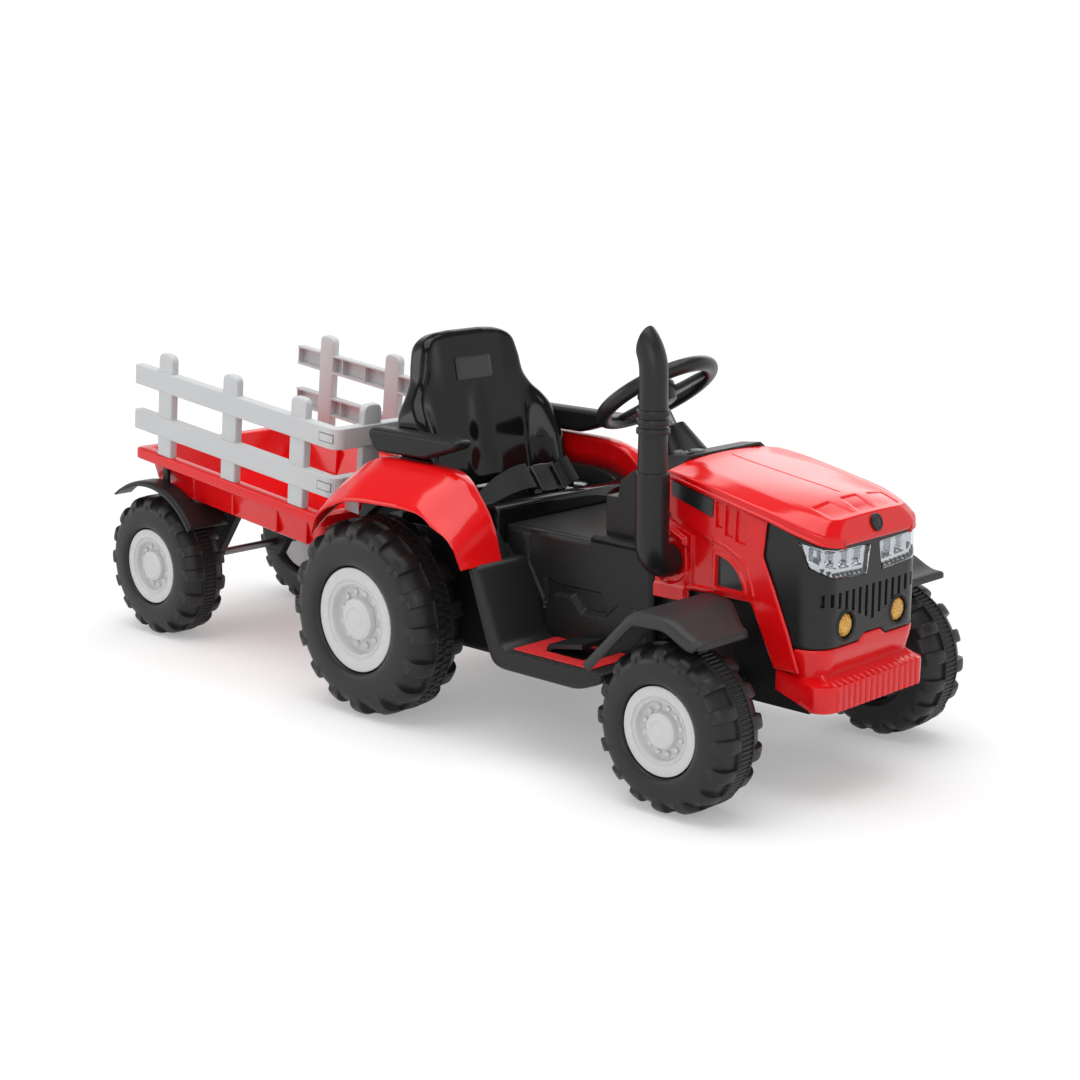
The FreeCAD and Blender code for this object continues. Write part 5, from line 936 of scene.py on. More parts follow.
GUARD_LINE = ((413, 164), (487.4, 239.5), (546.9, 241), (580.4, 223.3), (598.4, 221.6), (599, 212.5))
GUARD_INNER = ((413, 158), (440, 158), (450, 130), (500, 109), (545, 128), (590, 161), (599, 165))
GUARD_FLANGE, GUARD_NOSE = 238.0, (584.0, 597.0)
GUARD_EDGE = ((GUARD_FLANGE, 0.0), (243.0, 0.5), (246.6, 2.0), (249.0, 4.6), (250.0, 8.0), (250.0, 15.0))
grey_matte = plastic("grey_matte", (0.024, 0.024, 0.025), (0.032, 0.032, 0.033), rough=0.48, grain=1700.0,
                     relief=0.10, shine=0.32)
line = spaced(bent(GUARD_LINE, 13.0), 5.0)
sections = []
for x in line[:, 0]:
    start = np.interp(x, *np.array(GUARD_INNER).T)
    shallow = 1.0 - 0.65 * smooth(x, *GUARD_NOSE)
    inner = [(start + share * (GUARD_FLANGE - start), 0.0) for share in np.linspace(0.0, 0.96, 10)]
    sections.append(inner + [(across, drop * shallow) for across, drop in GUARD_EDGE])
for hand, side in HANDS:
    guard = Shape()
    draped(guard, line, np.array(sections), side)
    piece(f"front_fender_{hand}_skin", guard, "tractor_body", [f"front_fender_{hand}"],
          grey_matte, crisp=45.0, thick=3.2, solid=False)


# Rear fenders: glossy red arches over the rear tyres. A crease runs along the top near the seat;
# from it the skin rolls down and outwards to a rounded lip, and a low wall drops on the seat's side.
RIDGE = ((-103, 285), (-86, 319), (-40, 345), (27, 348), (110, 342.5), (151, 313.5), (175, 285),
         (190.5, 247), (194, 238))
CROWN = ((165.0, -0.3), (169.0, 0.0), (171.5, 0.9), (176.0, 3.4), (184.0, 7.6), (194.0, 12.6), (204.0, 18.2),
         (213.0, 24.0), (221.0, 29.8), (228.0, 35.0), (233.0, 38.8), (236.4, 41.6), (238.0, 44.2),
         (237.6, 46.6), (235.8, 47.8))
SETTLE = ((-103, 1.0), (-51, 1.12), (19, 1.02), (85, 0.96), (137, 0.86), (175, 0.40), (194, 0.0))
FENDER_WALL, WALL_FADE = 44.0, ((-103, -60, 130, 194), (0.6, 1.0, 1.0, 0.25))
WALL_LINE = ((110, 194), (148, 163))
ridge = curve(RIDGE, 90)
settle = np.interp(ridge[:, 0], *np.array(SETTLE).T)
wall_y = np.interp(ridge[:, 0], *WALL_LINE)
wall_deep = FENDER_WALL * np.interp(ridge[:, 0], *WALL_FADE)
for hand, side in HANDS:
    rows = []
    for (x, z), share, inner, deep in zip(ridge, settle, wall_y, wall_deep):
        wall = [(x, side * inner, z - drop) for drop in (deep, 0.5 * deep, 5.0, 2.6)]
        wall += [(x, side * (inner + away), z - drop) for away, drop in ((0.5, 1.2), (1.8, 0.2))]
        rows.append(wall + [(x, side * across, z - drop * share) for across, drop in CROWN])
    rows = np.array(rows)
    arch = Shape()
    arch.grid(rows if side < 0 else rows[::-1])
    piece(f"rear_fender_{hand}_skin", arch, "tractor_body", [f"rear_fender_{hand}"],
          red_gloss, crisp=42.0, thick=2.6, solid=False)


# Chassis tub: matt black, with a tunnel in the middle. On each side are a running board with a sloping rear
# post and a beaded edge, an inner wall with a ledge, a rib and a stepped bulge, and an arch by the seat.
def panel(shape, flat, faces, front, back, place):
    """Closes a flat field into a body: the field at height front, again at height back, and a strip between
    them along each edge that only one face uses. place stands flat points at a height."""
    count = len(flat)
    used = {}
    for face in faces:
        for a, b in zip(face, face[1:] + face[:1]):
            used[(a, b)] = True
    strips = [(b, a, a + count, b + count) for a, b in used if (b, a) not in used]
    behind = [tuple(k + count for k in face[::-1]) for face in faces]
    shape.add(np.concatenate([place(flat, front), place(flat, back)]), [*faces, *behind, *strips])


def upright(side, base=0.0):
    """A way to place flat (x, z) points at a height over a plane that stands base from the middle."""
    return lambda spots, rise: np.stack([spots[:, 0], side * (base + rise), spots[:, 1]], axis=-1)


def rolled_field(edge, step, radius=5.0):
    """A field with a rounded rim: its points, its faces and how far the rim's quarter circle drops at each
    point."""
    flat, faces, _ = field(edge, step, [(edge, 0.0, radius)])
    short = radius - np.clip(signed_reach(flat, edge), 0.0, radius)
    return flat, faces, radius - np.sqrt(radius ** 2 - short ** 2)


SLANT = (0.31, 0.73, 0.61)


def tube(shape, path, radius, count):
    """A round tube along a path, its ends capped. The first ring starts square to SLANT, a way no path here
    runs, and each later ring starts on the same side, so the tube doesn't twist."""
    ahead = np.gradient(path, axis=0)
    ahead /= np.linalg.norm(ahead, axis=1)[:, None]
    side = np.cross(ahead[0], SLANT)
    angles = full_turn(count)[:, None]
    rows = []
    for spot, way in zip(path, ahead):
        side = side - way * np.dot(side, way)
        side /= np.linalg.norm(side)
        rows.append(spot + radius * (np.cos(angles) * side + np.sin(angles) * np.cross(way, side)))
    shape.grid(rows, wrap_columns=True, ends=True)


tub_black = plastic("tub_black", (0.010, 0.010, 0.0104), (0.014, 0.014, 0.0144), rough=0.38, grain=1500.0,
                    relief=0.08, shine=0.25)
TUB_HALF, BOARD_HALF = 122.0, 212.0
TUB_SIDE = ((-116, 92), (414, 92), (414, 286), (316, 286), (310, 276), (157, 276), (157, 250), (-116, 250))
BOARD_LINE = ((181, 239.6), (216.9, 134.5), (224.1, 120.6), (234.8, 113), (374.4, 113), (414, 128.2),
              (414, 139.6), (253.2, 139.6), (241.6, 142.8), (235.8, 151), (198.5, 239.6))
LEDGE = ((205, 271), (246, 276), (414, 274), (414, 287), (200, 287))
RIB = ((192, 270), (206, 270), (203, 233), (238, 176), (231, 172), (191, 231))
BULGE = ((236, 100), (230, 181), (249.6, 198.3), (282.6, 201.8), (299, 182.3), (339.9, 185.2), (357, 201.6),
         (388.2, 200.6), (414, 186), (414, 100))
POCKET = ((228, 217.4), (230, 181), (249.6, 198.3), (282.6, 201.8), (299, 182.3), (339.9, 185.2),
          (329.5, 212.2), (258.6, 211.2))
BEAD_LINE = ((184, 232), (219, 134), (227, 119.5), (240, 115.5), (372, 115.5), (409, 129.5), (411, 137))
BEAD_RADIUS, BEAD_DEEP = 3.6, 2.6
HOUSING = ((132.8, 23.0), (132.8, 2.0), (134.4, 0.0), (151.4, 0.0), (152.4, 1.0), (152.4, 23.0))
wall_features = [(LEDGE, 6.0, 6.0), (RIB[::-1], 3.0, 2.0), (BULGE, 5.0, 4.0),
                 (rounded(POCKET, 3.0), -4.0, 2.5)]
tub_edge = rounded(TUB_SIDE, 5.0)
flat, faces, height = field(tub_edge, 5.0, wall_features)
height -= 3.0 * (1 - smooth(signed_reach(flat, tub_edge), 0.0, 4.0))
board_flat, board_faces, board_roll = rolled_field(rounded(BOARD_LINE, 7.0, 5), 6.0)
bead = spaced(bent(BEAD_LINE, 12.0), 5.0)
arch = ridge[4:-12] - np.array([0.0, FENDER_WALL - 4.0])
tub = Shape()
slab(tub, tub_edge, -TUB_HALF + 6.0, TUB_HALF - 6.0, edge=3.0)
for side in SIDES:
    panel(tub, flat, faces, height, height - 8.0, upright(side, TUB_HALF - 1.0))
    panel(tub, board_flat, board_faces, BOARD_HALF - board_roll, np.full(len(board_flat), TUB_HALF - 3.0),
          upright(side))
    tube(tub, np.insert(bead, 1, side * (BOARD_HALF - BEAD_DEEP), axis=1), BEAD_RADIUS, 12)
    rows = [[(x, side * y, z - down) for y, down in HOUSING] for x, z in arch]
    tub.grid(rows, wrap_columns=True, ends=True)
piece("chassis_tub_skin", tub, "tractor_body", ["chassis_tub"], tub_black, crisp=40.0)


# Seat: a glossy black bucket. The pan is a low tray with a raised front
# lip; the back leans, has a bolster down each side, a channel that flares
# at its foot, a bare plate near the top, a rounded rim and a hollow rear.
seat_gloss = plastic("seat_gloss", (0.0045, 0.0045, 0.0048), (0.007, 0.007, 0.0074), rough=0.10, spread=0.03,
                     grain=500.0, relief=0.008, shine=0.24)
SEAT_HALF = 132.0
PAN_LINE = ((-116, 250), (155, 250), (155, 296.5), (147, 300), (133.3, 299), (111.6, 285.3), (27.6, 283),
            (8.7, 285.5), (-34.7, 285.5), (-37.4, 258), (-116, 258))
flat, faces, roll = rolled_field(rounded(PAN_LINE, 4.0), 5.0)
pan = Shape()
panel(pan, flat, faces, SEAT_HALF - roll, roll - SEAT_HALF, upright(1.0))
piece("seat_pan_skin", pan, "tractor_body", ["seat_pan"], seat_gloss, crisp=50.0)

BACK_FOOT, BACK_LEAN = (3.0, 292.0), radians(10.0)
BACK_HALF_LINE = ((118, 0), (130, 10), (132, 45), (132, 92), (126, 116), (111, 137), (99, 158), (93, 182),
                  (84, 205), (62, 217.5), (30, 221))
BACK_THICK, BACK_WALL, BACK_RIM = 34.0, 5.0, 13.0
CHANNEL_DEEP, CHANNEL_HALF = 4.0, ((0, 52, 142), (40.0, 27.0, 20.0))
BOLSTER_RISE, BOLSTER_FADE = 40.0, ((0, 55, 100, 128, 150), (1.0, 0.9, 0.52, 0.14, 0.0))
BARE_PLATE = ((-34, 150), (34, 150), (34, 181), (-34, 181))


def leaned(spots, rise):
    """Stands (across, up) points on the seat back's foot, pushed forward by rise, and leans them back."""
    x = BACK_FOOT[0] + rise * cos(BACK_LEAN) - spots[:, 1] * sin(BACK_LEAN)
    z = BACK_FOOT[1] + rise * sin(BACK_LEAN) + spots[:, 1] * cos(BACK_LEAN)
    return np.stack([x, spots[:, 0], z], axis=-1)


half_line = curve(BACK_HALF_LINE, 44)
back_edge = np.vstack([half_line, half_line[::-1] * np.array([-1, 1])])
levels = half_line[-1, 1] * (1 - np.cos(np.linspace(0, pi, 100))) / 2
shares = np.sin(np.linspace(-pi / 2, pi / 2, 81))
widths = np.interp(levels, half_line[:, 1], half_line[:, 0])
flat = np.stack([np.outer(widths, shares).ravel(), np.repeat(levels, len(shares))], axis=-1)
faces = quads(len(levels), len(shares))
across, up = np.abs(flat[:, 0]), flat[:, 1]
channel = CHANNEL_DEEP * (1 - smooth(across, 0.0, np.interp(up, *CHANNEL_HALF))) * gate(up, 0.0, 150.0, 40.0)
bolster = BOLSTER_RISE * np.interp(up, *BOLSTER_FADE) * smooth(across, 84.0, 119.0)
shoulder = 5.0 * smooth(up, 128.0, 176.0) * smooth(across, 56.0, 86.0)
reach = np.clip(signed_reach(flat, back_edge), 0.0, None)
rim_roll = BACK_RIM * (1 - np.sqrt(1 - (1 - np.clip(reach / BACK_RIM, 0.0, 1.0)) ** 2))
face = bolster + shoulder - channel - rim_roll
hollow = smooth(reach, 6.0, 12.0)
back = Shape()
rear = (1 - hollow) * (rim_roll - BACK_THICK) + hollow * (face - BACK_WALL)
panel(back, flat, faces, face, rear, leaned)
piece("seat_back_skin", back, "tractor_body", ["seat_back"], seat_gloss, crisp=55.0)
plate_edge = rounded(BARE_PLATE, 3.0)
flat, faces, plate_rise = field(plate_edge, 4.0, [(plate_edge, 0.8, 1.0)])
plate = Shape()
panel(plate, flat, faces, 1.4 + plate_rise, np.full(len(flat), -3.0), leaned)
piece("seat_plate", plate, "tractor_body", [], plate_black)


# Armrests: matt black blocks with a cut-away underside and rounded rims,
# each on a pin in the side of the seat back, about which it folds up.
REST_LINE = ((-59, 373), (-46.7, 354), (50, 354), (111.7, 373.8), (117, 382.8), (112, 386), (-55, 386),
             (-59, 382))
REST_PLANES = (138.4, 170.0)
PIN_PLACE, PIN_PROFILE = (-39.0, 142.0, 370.0), ((0.0, 6.9), (16.0, 6.9))
flat, faces, roll = rolled_field(rounded(REST_LINE, 6.0), 5.0)
for hand, side in HANDS:
    rest = Shape()
    panel(rest, flat, faces, REST_PLANES[1] - roll, REST_PLANES[0] + roll, upright(side))
    turned(rest, PIN_PROFILE, np.array(PIN_PLACE) * (1, side, 1), (0, -side, 0), (1, 0, 0))
    piece(f"armrest_{hand}_skin", rest, f"armrest_{hand}", [f"armrest_{hand}"], tub_black,
          crisp=45.0)


# Seat belt: two black webbing straps that rise from the seat's corners
# into loops, and a side-release buckle. The straps twist on the way in, so
# the buckle stands on edge facing forward, a little to the driver's left.
def webbing(name):
    """Woven polyester: a fine cross rib from a wave texture, matt, with a slow drift of tone."""
    made = plastic(name, (0.014, 0.014, 0.015), (0.024, 0.024, 0.025), rough=0.72, spread=0.08, relief=0.0,
                   shine=0.3)
    return embossed(made, "ShaderNodeTexWave", 0.5, 0.0006, scale=240.0, distortion=0.4, bands_direction="Y")


BELT_X, BELT_HALF, BELT_THICK = 75.0, 19.0, 2.0
STRAP_LINE = ((98, 287), (78, 288.5), (60, 300), (47, 314), (39, 314), (36, 302), (33, 296.5))
STRAP_SECTION = ((-BELT_HALF, 1), (1 - BELT_HALF, 1), (BELT_HALF - 1, 1), (BELT_HALF, 1), (BELT_HALF, -1),
                 (-BELT_HALF, -1))
TWIST, TWIST_SPAN, BUCKLE_SHIFT, BELT_FLOOR = radians(52.0), (40.0, 88.0), 22.0, 287.0
BUCKLE_PLAN = ((-20, -17), (20, -17), (22, -8), (22, 8), (20, 17), (-20, 17), (-22, 8), (-22, -8))
BUCKLE_BAR, PRONG_X, PRONG_HALF, PRONG_ENDS = ((-22, 26), (22, 26), (22, 31), (-22, 31)), 18.0, 3.5, (15, 27)


def twisted(shape):
    """Stands the belt's middle up about its front edge, by less and less towards the straps' outer ends."""
    for points in shape.points:
        share = 1.0 - smooth(np.abs(points[:, 1]), *TWIST_SPAN)
        turn = TWIST * share
        back, up = points[:, 0] - BELT_X - BELT_HALF, points[:, 2] - BELT_FLOOR
        points[:, 0] = BELT_X + BELT_HALF + back * np.cos(turn) + up * np.sin(turn)
        points[:, 1] += BUCKLE_SHIFT * share
        points[:, 2] = BELT_FLOOR - back * np.sin(turn) + up * np.cos(turn)
    return shape


strap = curve(STRAP_LINE, 40)
slope = np.gradient(strap, axis=0)
square = np.stack([-slope[:, 1], slope[:, 0]], axis=-1) / np.linalg.norm(slope, axis=1)[:, None]
belts = Shape()
for side in SIDES:
    rows = []
    for (y, z), (away_y, away_z) in zip(strap, square * BELT_THICK / 2):
        row = [(BELT_X + x, side * (y + up * away_y), z + up * away_z) for x, up in STRAP_SECTION]
        rows.append(row)
    belts.grid(rows, wrap_columns=True, ends=True)
piece("seat_belt_skin", twisted(belts), "tractor_body", ["seat_belt_webs"], webbing("belt_web"),
      crisp=50.0)
buckle = Shape()


def buckle_part(plan, corner, low, high, edge, side=1.0):
    """Adds a rounded plate of the buckle over a plan of (x, y) points about the belt's middle."""
    spots = [(BELT_X + x, side * y) for x, y in rounded(plan, corner)]
    slab(buckle, spots, low, high, edge=edge, axes="xyz")


buckle_part(BUCKLE_PLAN, 3.0, 286.2, 301.4, 2.5)
for side in SIDES:
    near, far = PRONG_ENDS
    for x in (-PRONG_X, PRONG_X):
        left, right = x - PRONG_HALF, x + PRONG_HALF
        buckle_part(((left, near), (right, near), (right, far), (left, far)), 2.0, 289.0, 298.5, 1.5, side)
    buckle_part(BUCKLE_BAR, 2.0, 288.0, 299.5, 1.5, side)
piece("belt_buckle_skin", twisted(buckle), "tractor_body", ["belt_buckle"], plate_black)


# Exhaust: a black dummy stack that leaves the right cheek through an elbow, rises past a sleeve seam and
# three rings, and leans back at its tip, which is cut on the slant so that the mouth looks backwards.
STACK_X, STACK_Y, ELBOW_Z, ELBOW = 437.0, -150.0, 272.0, 28.0
TIP_BEND, TIP_TURN, TIP_RUN, TIP_START, TIP_SKEW = 56.0, radians(38.0), 1.2, 505.0, 0.75
SLEEVE, PIPE, SEAM = 21.0, 17.5, ((382.5, 21.0), (384.0, 21.2), (385.2, 20.8), (386.0, 18.6))
RING_MIDDLES = (436.0, 447.0, 458.0)
RING_PROFILE = ((-3.8, 17.8), (-3.4, 20.0), (-2.4, 20.5), (2.4, 20.5), (3.4, 20.0), (3.8, 17.8))
MOUTH = ((TIP_RUN, 17.2), (TIP_RUN + 0.4, 16.6), (TIP_RUN + 0.3, 15.8), (TIP_RUN - 0.8, 15.2), (-14.0, 14.4))
stations = [((STACK_X, -117.0, ELBOW_Z), (0, -1, 0), SLEEVE, 0.0)]
for turn in np.linspace(0, pi / 2, 10):
    spot = (STACK_X, STACK_Y + ELBOW * (1 - sin(turn)), ELBOW_Z + ELBOW * (1 - cos(turn)))
    stations.append((spot, (0, -cos(turn), sin(turn)), SLEEVE, 0.0))
rises = [*SEAM, *((middle + up, radius) for middle in RING_MIDDLES for up, radius in RING_PROFILE)]
rises += [(480.0, PIPE), (TIP_START, PIPE)]
stations += [((STACK_X, STACK_Y, z), (0, 0, 1), radius, 0.0) for z, radius in rises]
for turn in np.linspace(0, TIP_TURN, 9)[1:]:
    spot = (STACK_X - TIP_BEND * (1 - cos(turn)), STACK_Y, TIP_START + TIP_BEND * sin(turn))
    stations.append((spot, (-sin(turn), 0, cos(turn)), PIPE, TIP_SKEW * turn / TIP_TURN))
tip, way = np.array(stations[-1][0]), np.array(stations[-1][1])
for run, radius in MOUTH:
    stations.append((tip + run * way, way, radius, TIP_SKEW))
angles = full_turn(48)[:, None]
rows = []
for spot, way, radius, skew in stations:
    way = np.array(way, dtype=float)
    side = np.array((1.0, 0.0, 0.0)) - way[0] * way
    side /= np.linalg.norm(side)
    lengthwise = np.cos(angles) * (side + skew * way)
    rows.append(np.array(spot) + radius * (lengthwise + np.sin(angles) * np.cross(way, side)))
stack = Shape()
stack.grid(rows, wrap_columns=True, ends=True)
piece("exhaust_skin", stack, "tractor_body", ["exhaust_stack"], black_satin, crisp=40.0)


# Steering wheel: a thick black grip ring on three flat spokes that dip to a
# round hub; its axis leans with the column, and the horn button sits in the hub.
WHEEL_MIDDLE, WHEEL_AXIS = np.array((314.0, 0.0, 453.0)), np.array((-0.57358, 0.0, 0.81915))
RING, GRIP, HUB = 76.0, 9.9, 26.0
SPOKE_START, SPOKE_HALF, SPOKE_TAPER, SPOKE_DIP, SPOKE_FLAT = 12.0, 12.0, 2.8, 5.0, 4.4
HUB_PROFILE = ((-18.0, 18.0), (-17.0, 20.0), (-4.0, HUB - 1.0), (4.0, HUB), (6.0, HUB - 0.6),
               (7.2, HUB - 2.2), (7.6, HUB - 4.0), (7.6, 17.2), (6.4, 16.0), (1.0, 15.6), (0.6, 6.4))
ACROSS = np.array((0.0, 1.0, 0.0))
FORWARD = np.cross(ACROSS, WHEEL_AXIS)


def on_wheel(turn, away, rise):
    """Point at an angle round the steering axis, away from it and rise along it."""
    return WHEEL_MIDDLE + away * (cos(turn) * FORWARD + sin(turn) * ACROSS) + rise * WHEEL_AXIS


wheel = Shape()
grip = [(RING + GRIP * cos(angle), GRIP * sin(angle)) for angle in full_turn(28)]
rows = [[on_wheel(turn, away, rise) for away, rise in grip] for turn in full_turn(96)]
wheel.grid(rows, wrap_rows=True, wrap_columns=True)
for turn in (pi, pi / 3, -pi / 3):
    sideways = -sin(turn) * FORWARD + cos(turn) * ACROSS
    rows = []
    for share in np.linspace(0.0, 1.0, 9):
        away = SPOKE_START + share * (RING - SPOKE_START)
        half = SPOKE_HALF - SPOKE_TAPER * share
        rise = -SPOKE_DIP * (1 - smooth(share, 0.1, 0.9))
        low, high = -SPOKE_FLAT, SPOKE_FLAT
        section = rounded(((-half, low), (half, low), (half, high), (-half, high)), 2.6)
        rows.append([on_wheel(turn, away, rise + up) + wide * sideways for wide, up in section])
    wheel.grid(rows, wrap_columns=True, ends=True)
turned(wheel, HUB_PROFILE, WHEEL_MIDDLE, WHEEL_AXIS, ACROSS, 56)
piece("steering_wheel_skin", wheel, "steering", ["steering_wheel"], black_satin, crisp=45.0)


# Trailer bed: a red tray with a wide flat rim and short upright ribs under it. It is drawn level
# about the trailer's axle and then pitched nose down, like everything else on the trailer.
AXLE, PITCH = (-563.0, 110.3), radians(6.0)


def pitched(shape):
    """Turns a shape drawn about the trailer's axle to the trailer's nose-down stance."""
    for points in shape.points:
        x, z = points[:, 0].copy(), points[:, 2].copy()
        points[:, 0] = AXLE[0] + x * cos(PITCH) + z * sin(PITCH)
        points[:, 2] = AXLE[1] - x * sin(PITCH) + z * cos(PITCH)
    return shape


BED_REAR, BED_FRONT, BED_HALF, BED_TOP = -66.0, 384.0, 168.0, 176.0
BED_PROFILE = ((29.0, 114.0), (27.0, 115.5), (17.4, 158.0), (16.8, 159.4), (1.2, 159.4), (0.2, 160.4),
               (0.0, 161.6), (0.0, 173.4), (0.5, 175.0), (2.2, 176.0), (17.6, 176.0), (19.2, 175.5),
               (20.2, 174.0), (31.0, 121.0), (34.0, 118.2))
TAB_PLACES, TAB_PLANES = (62.0, 158.0, 262.0, 330.0), (136.0, 150.0)
rows = []
for inward, level in BED_PROFILE:
    low_x, high_x, half = BED_REAR + inward, BED_FRONT - inward, BED_HALF - inward
    ring = rounded(((low_x, -half), (high_x, -half), (high_x, half), (low_x, half)), 11.0, 6)
    rows.append(np.column_stack([ring, np.full(len(ring), level)]))
bed = Shape()
bed.grid(rows, wrap_columns=True, ends=True)
for side in SIDES:
    for x in TAB_PLACES:
        tab = ((x - 2, 119), (x + 2, 119), (x + 2, 160), (x - 2, 160))
        slab(bed, tab, *between(side, *TAB_PLANES), edge=0.8)
piece("trailer_tub_skin", pitched(bed), "trailer", ["trailer_tub"], red_gloss, crisp=38.0)


# Trailer fences: light grey hollow rails, ribbed inside, on round-topped posts that stand on the bed's rim.
# The side rails turn a round corner at the front, where painted slot shade outlines each latch. The rear is
# open.
button_grey = plastic("button_grey", (0.10, 0.10, 0.10), (0.13, 0.13, 0.13), rough=0.40)
fence_grey = plastic("fence_grey", (0.50, 0.51, 0.52), (0.56, 0.57, 0.58), rough=0.44, relief=0.03)
RAIL_LOWS, RAIL_HEIGHT, RAIL_REAR, RAIL_FRONT = (206.0, 276.5), 30.5, -67.0, 406.0
RAIL_OUT, RAIL_DEEP, RAIL_SKIN, RAIL_CORNER = 168.0, 15.0, 3.0, 18.0
RAIL_RIB_PITCH = 55.0
SIDE_POSTS, FRONT_POSTS = (5.5, 163.5, 320.5), (-98.0, 98.0)
POST_TOP, POST_HALF, POST_PLANES = 336.0, 16.5, (152.6, 166.0)
FRONT_POST_SPAN, FRONT_FOOT_SPAN, FRONT_FOOT_TOP = (391.2, 403.6), (371.0, 402.0), 216.0
LATCH_SPAN, LATCH_HALF, LATCH_LINE = (371.0, 399.0), 6.4, 1.3
CORNER_LENGTH = RAIL_CORNER * pi / 2


def post_outline(middle, foot):
    """A post's front view: straight sides and a round top."""
    left, right = middle - POST_HALF, middle + POST_HALF
    return bent(((right, foot), (right, POST_TOP), (left, POST_TOP), (left, foot)), 12.0)


def round_corner(run, deep):
    """Plan places (x, y) at distances run along a side rail, which turns a quarter circle in at its front,
    deep millimetres behind the rail's outer face."""
    straight = RAIL_FRONT - RAIL_CORNER
    turn = np.clip(run - straight, 0.0, None) / RAIL_CORNER
    reach = RAIL_CORNER - deep
    return np.minimum(run, straight) + reach * np.sin(turn), RAIL_OUT - RAIL_CORNER + reach * np.cos(turn)


def straight_front(run, deep):
    """Plan places (x, y) of the front rail, deep millimetres behind its outer face."""
    return np.full(len(run), RAIL_FRONT - deep), run


def strip(shape, place, run, section, side=1.0):
    """Sweeps a closed (deep, z) section along a plan line; side mirrors it."""
    rows = []
    for deep, z in section:
        x, y = place(run, deep)
        rows.append(np.stack([x, side * y, np.full(len(run), z)], axis=-1))
    shape.grid(np.array(rows).transpose(1, 0, 2), wrap_columns=True, ends=True)


def rail(shape, place, run, low, side=1.0):
    """A hollow rail: a channel open to the inside, with thin ribs across it at an even pitch."""
    high, soft, skin, deep = low + RAIL_HEIGHT, 1.2, RAIL_SKIN, RAIL_DEEP
    channel = ((0, low + soft), (0, high - soft), (soft, high), (deep, high), (deep, high - skin),
               (skin, high - skin), (skin, low + skin), (deep, low + skin), (deep, low), (soft, low))
    strip(shape, place, run, channel, side)
    rib = ((skin - 1, low + 1), (skin - 1, high - 1), (deep - 1, high - 1), (deep - 1, low + 1))
    for middle in np.arange(run[0] + 1.2, run[-1] - CORNER_LENGTH, RAIL_RIB_PITCH):
        strip(shape, place, np.array((middle - 1.0, middle + 1.0)), rib, side)


side_run = np.concatenate([np.linspace(RAIL_REAR, RAIL_FRONT - RAIL_CORNER, 24),
                           RAIL_FRONT - RAIL_CORNER + np.linspace(0.0, CORNER_LENGTH, 13)[1:]])
latch_run = np.linspace(*LATCH_SPAN, 13)
inner_run = np.linspace(LATCH_SPAN[0] + LATCH_LINE, LATCH_SPAN[1] - LATCH_LINE, 13)
# Painted shade: a thin dark grey band round each latch stands for the shaded slot, with a fence-grey plate
# in front.
latch_slot_shade = Shape()
for hand, side in HANDS:
    fence = Shape()
    for low in RAIL_LOWS:
        rail(fence, round_corner, side_run, low, side)
        middle = low + RAIL_HEIGHT / 2
        bands = ((latch_slot_shade, latch_run, LATCH_HALF, 0.4), (fence, inner_run, LATCH_HALF - LATCH_LINE, 0.8))
        for shape, run, half, lift in bands:
            low_z, high_z = middle - half, middle + half
            band = ((-lift, low_z), (-lift, high_z), (2.0, high_z), (2.0, low_z))
            strip(shape, round_corner, run, band, side)
    for middle in SIDE_POSTS:
        slab(fence, post_outline(middle, BED_TOP), *between(side, *POST_PLANES), edge=2.4)
    piece(f"trailer_fence_{hand}_skin", pitched(fence), "trailer",
          [f"trailer_fence_{hand}"], fence_grey, crisp=36.0)
# The dark latch outlines are painted shade of the slots round the latches.
piece("trailer_latch_slot_shade", pitched(latch_slot_shade), "trailer", [], button_grey)
front = Shape()
front_half = RAIL_OUT - RAIL_CORNER - 0.5
for low in RAIL_LOWS:
    rail(front, straight_front, np.linspace(-front_half, front_half, 24), low)
for middle in FRONT_POSTS:
    slab(front, post_outline(middle, RAIL_LOWS[0]), *FRONT_POST_SPAN, edge=2.4, axes="yzx")
    left, right = middle - POST_HALF, middle + POST_HALF
    foot = ((left, BED_TOP), (right, BED_TOP), (right, FRONT_FOOT_TOP), (left, FRONT_FOOT_TOP))
    slab(front, foot, *FRONT_FOOT_SPAN, edge=1.6, axes="yzx")
piece("trailer_fence_front_skin", pitched(front), "trailer", ["trailer_fence_front"],
      fence_grey, crisp=36.0)


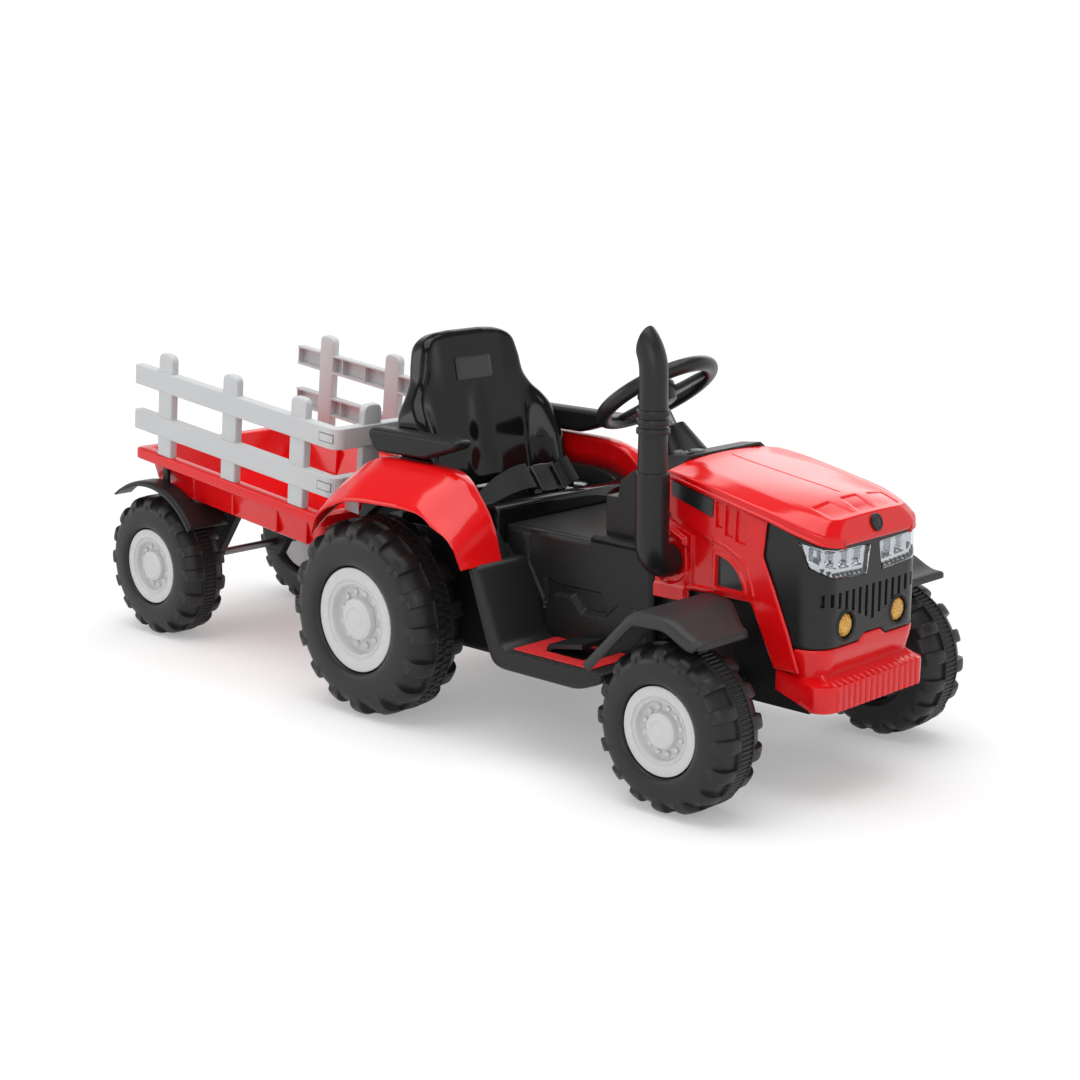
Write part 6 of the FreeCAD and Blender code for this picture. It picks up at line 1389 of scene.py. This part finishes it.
# Trailer fenders: black arched plates over the trailer's tyres with a rolled outer
# edge and a tail that runs straight on, each hung from the bed's rim by a short web.
ARCH_RADIUS, ARCH_START, ARCH_STOP, TAIL = 134.5, radians(129.8), radians(40.0), 12.0
ARCH_INNER = 154.2
ARCH_LIP = ((166.0, 0.0), (178.0, 0.0), (182.4, 0.5), (184.8, 1.9), (186.0, 4.2), (186.0, 8.0))
WEB, WEB_PLANES = ((-7, 130), (7, 130), (5, 159), (-5, 159)), (152.0, 158.0)
angles = np.linspace(ARCH_START, ARCH_STOP, 44)
line = np.stack([ARCH_RADIUS * np.cos(angles), ARCH_RADIUS * np.sin(angles)], axis=-1)
tail = line[0] + TAIL * np.array((-sin(ARCH_START), cos(ARCH_START)))
line = np.vstack([tail, line])
sections = []
for place, x in enumerate(line[:, 0]):
    inner = ARCH_INNER - 40.0 * smooth(x, 66.0, 80.0)
    lip = 0.30 + 0.70 * smooth(place, 0.0, 7.0)
    row = [(inner + share * (ARCH_LIP[0][0] - inner), 0.0) for share in (0.0, 0.25, 0.5, 0.75)]
    sections.append(row + [(y, drop * lip) for y, drop in ARCH_LIP])
arches = Shape()
for side in SIDES:
    draped(arches, line, np.array(sections), side)
piece("trailer_fender_plates", pitched(arches), "trailer", ["trailer_fenders"], tub_black,
      crisp=45.0, thick=3.0, solid=False)
webs = Shape()
for side in SIDES:
    slab(webs, rounded(WEB, 1.5), *between(side, *WEB_PLANES), edge=1.0)
piece("trailer_fender_webs", pitched(webs), "trailer", [], tub_black)


# Mechanical pieces, dash, mats and pedal keep their construction shapes: edges are eased, and each
# takes a finish of its own. Steel is dull and brushed; the mats are red rubber with a fine stipple.
def stippled(name, dark, light):
    """Moulded rubber tread: a dense field of small round bumps."""
    made = plastic(name, dark, light, rough=0.55, relief=0.0)
    return embossed(made, "ShaderNodeTexVoronoi", 0.7, 0.001, invert=True, scale=260.0)


dull_steel = chrome("dull_steel", (0.30, 0.30, 0.31), 0.42)
mat_red = stippled("mat_red", (0.46, 0.006, 0.008), (0.56, 0.010, 0.012))
WELD_GAP, EASE_WIDTH = 0.02 * MILLIMETRE, 0.9 * MILLIMETRE
KEPT = {dull_steel: ("rear_axle", "steering_shaft", "tie_rod", "steering_knuckle_right",
                     "steering_knuckle_left", "tow_hitch", "trailer_axle", "tow_bar"),
        tub_black: ("drive_unit_right", "drive_unit_left", "battery", "front_subframe", "dash_panel",
                    "column_boot", "axle_hangers", "accelerator_pedal"),
        button_grey: ("start_button", "direction_switch", "horn_button"), mat_red: ("foot_mats",)}
for material, names in KEPT.items():
    for name in names:
        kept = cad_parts[name]
        kept.data.materials.clear()
        kept.data.materials.append(material)
        weld = kept.modifiers.new("weld", "WELD")
        weld.merge_threshold = WELD_GAP
        ease = kept.modifiers.new("ease", "BEVEL")
        ease.width = EASE_WIDTH
        ease.segments = 2
        ease.limit_method = "ANGLE"
        ease.angle_limit = radians(35.0)
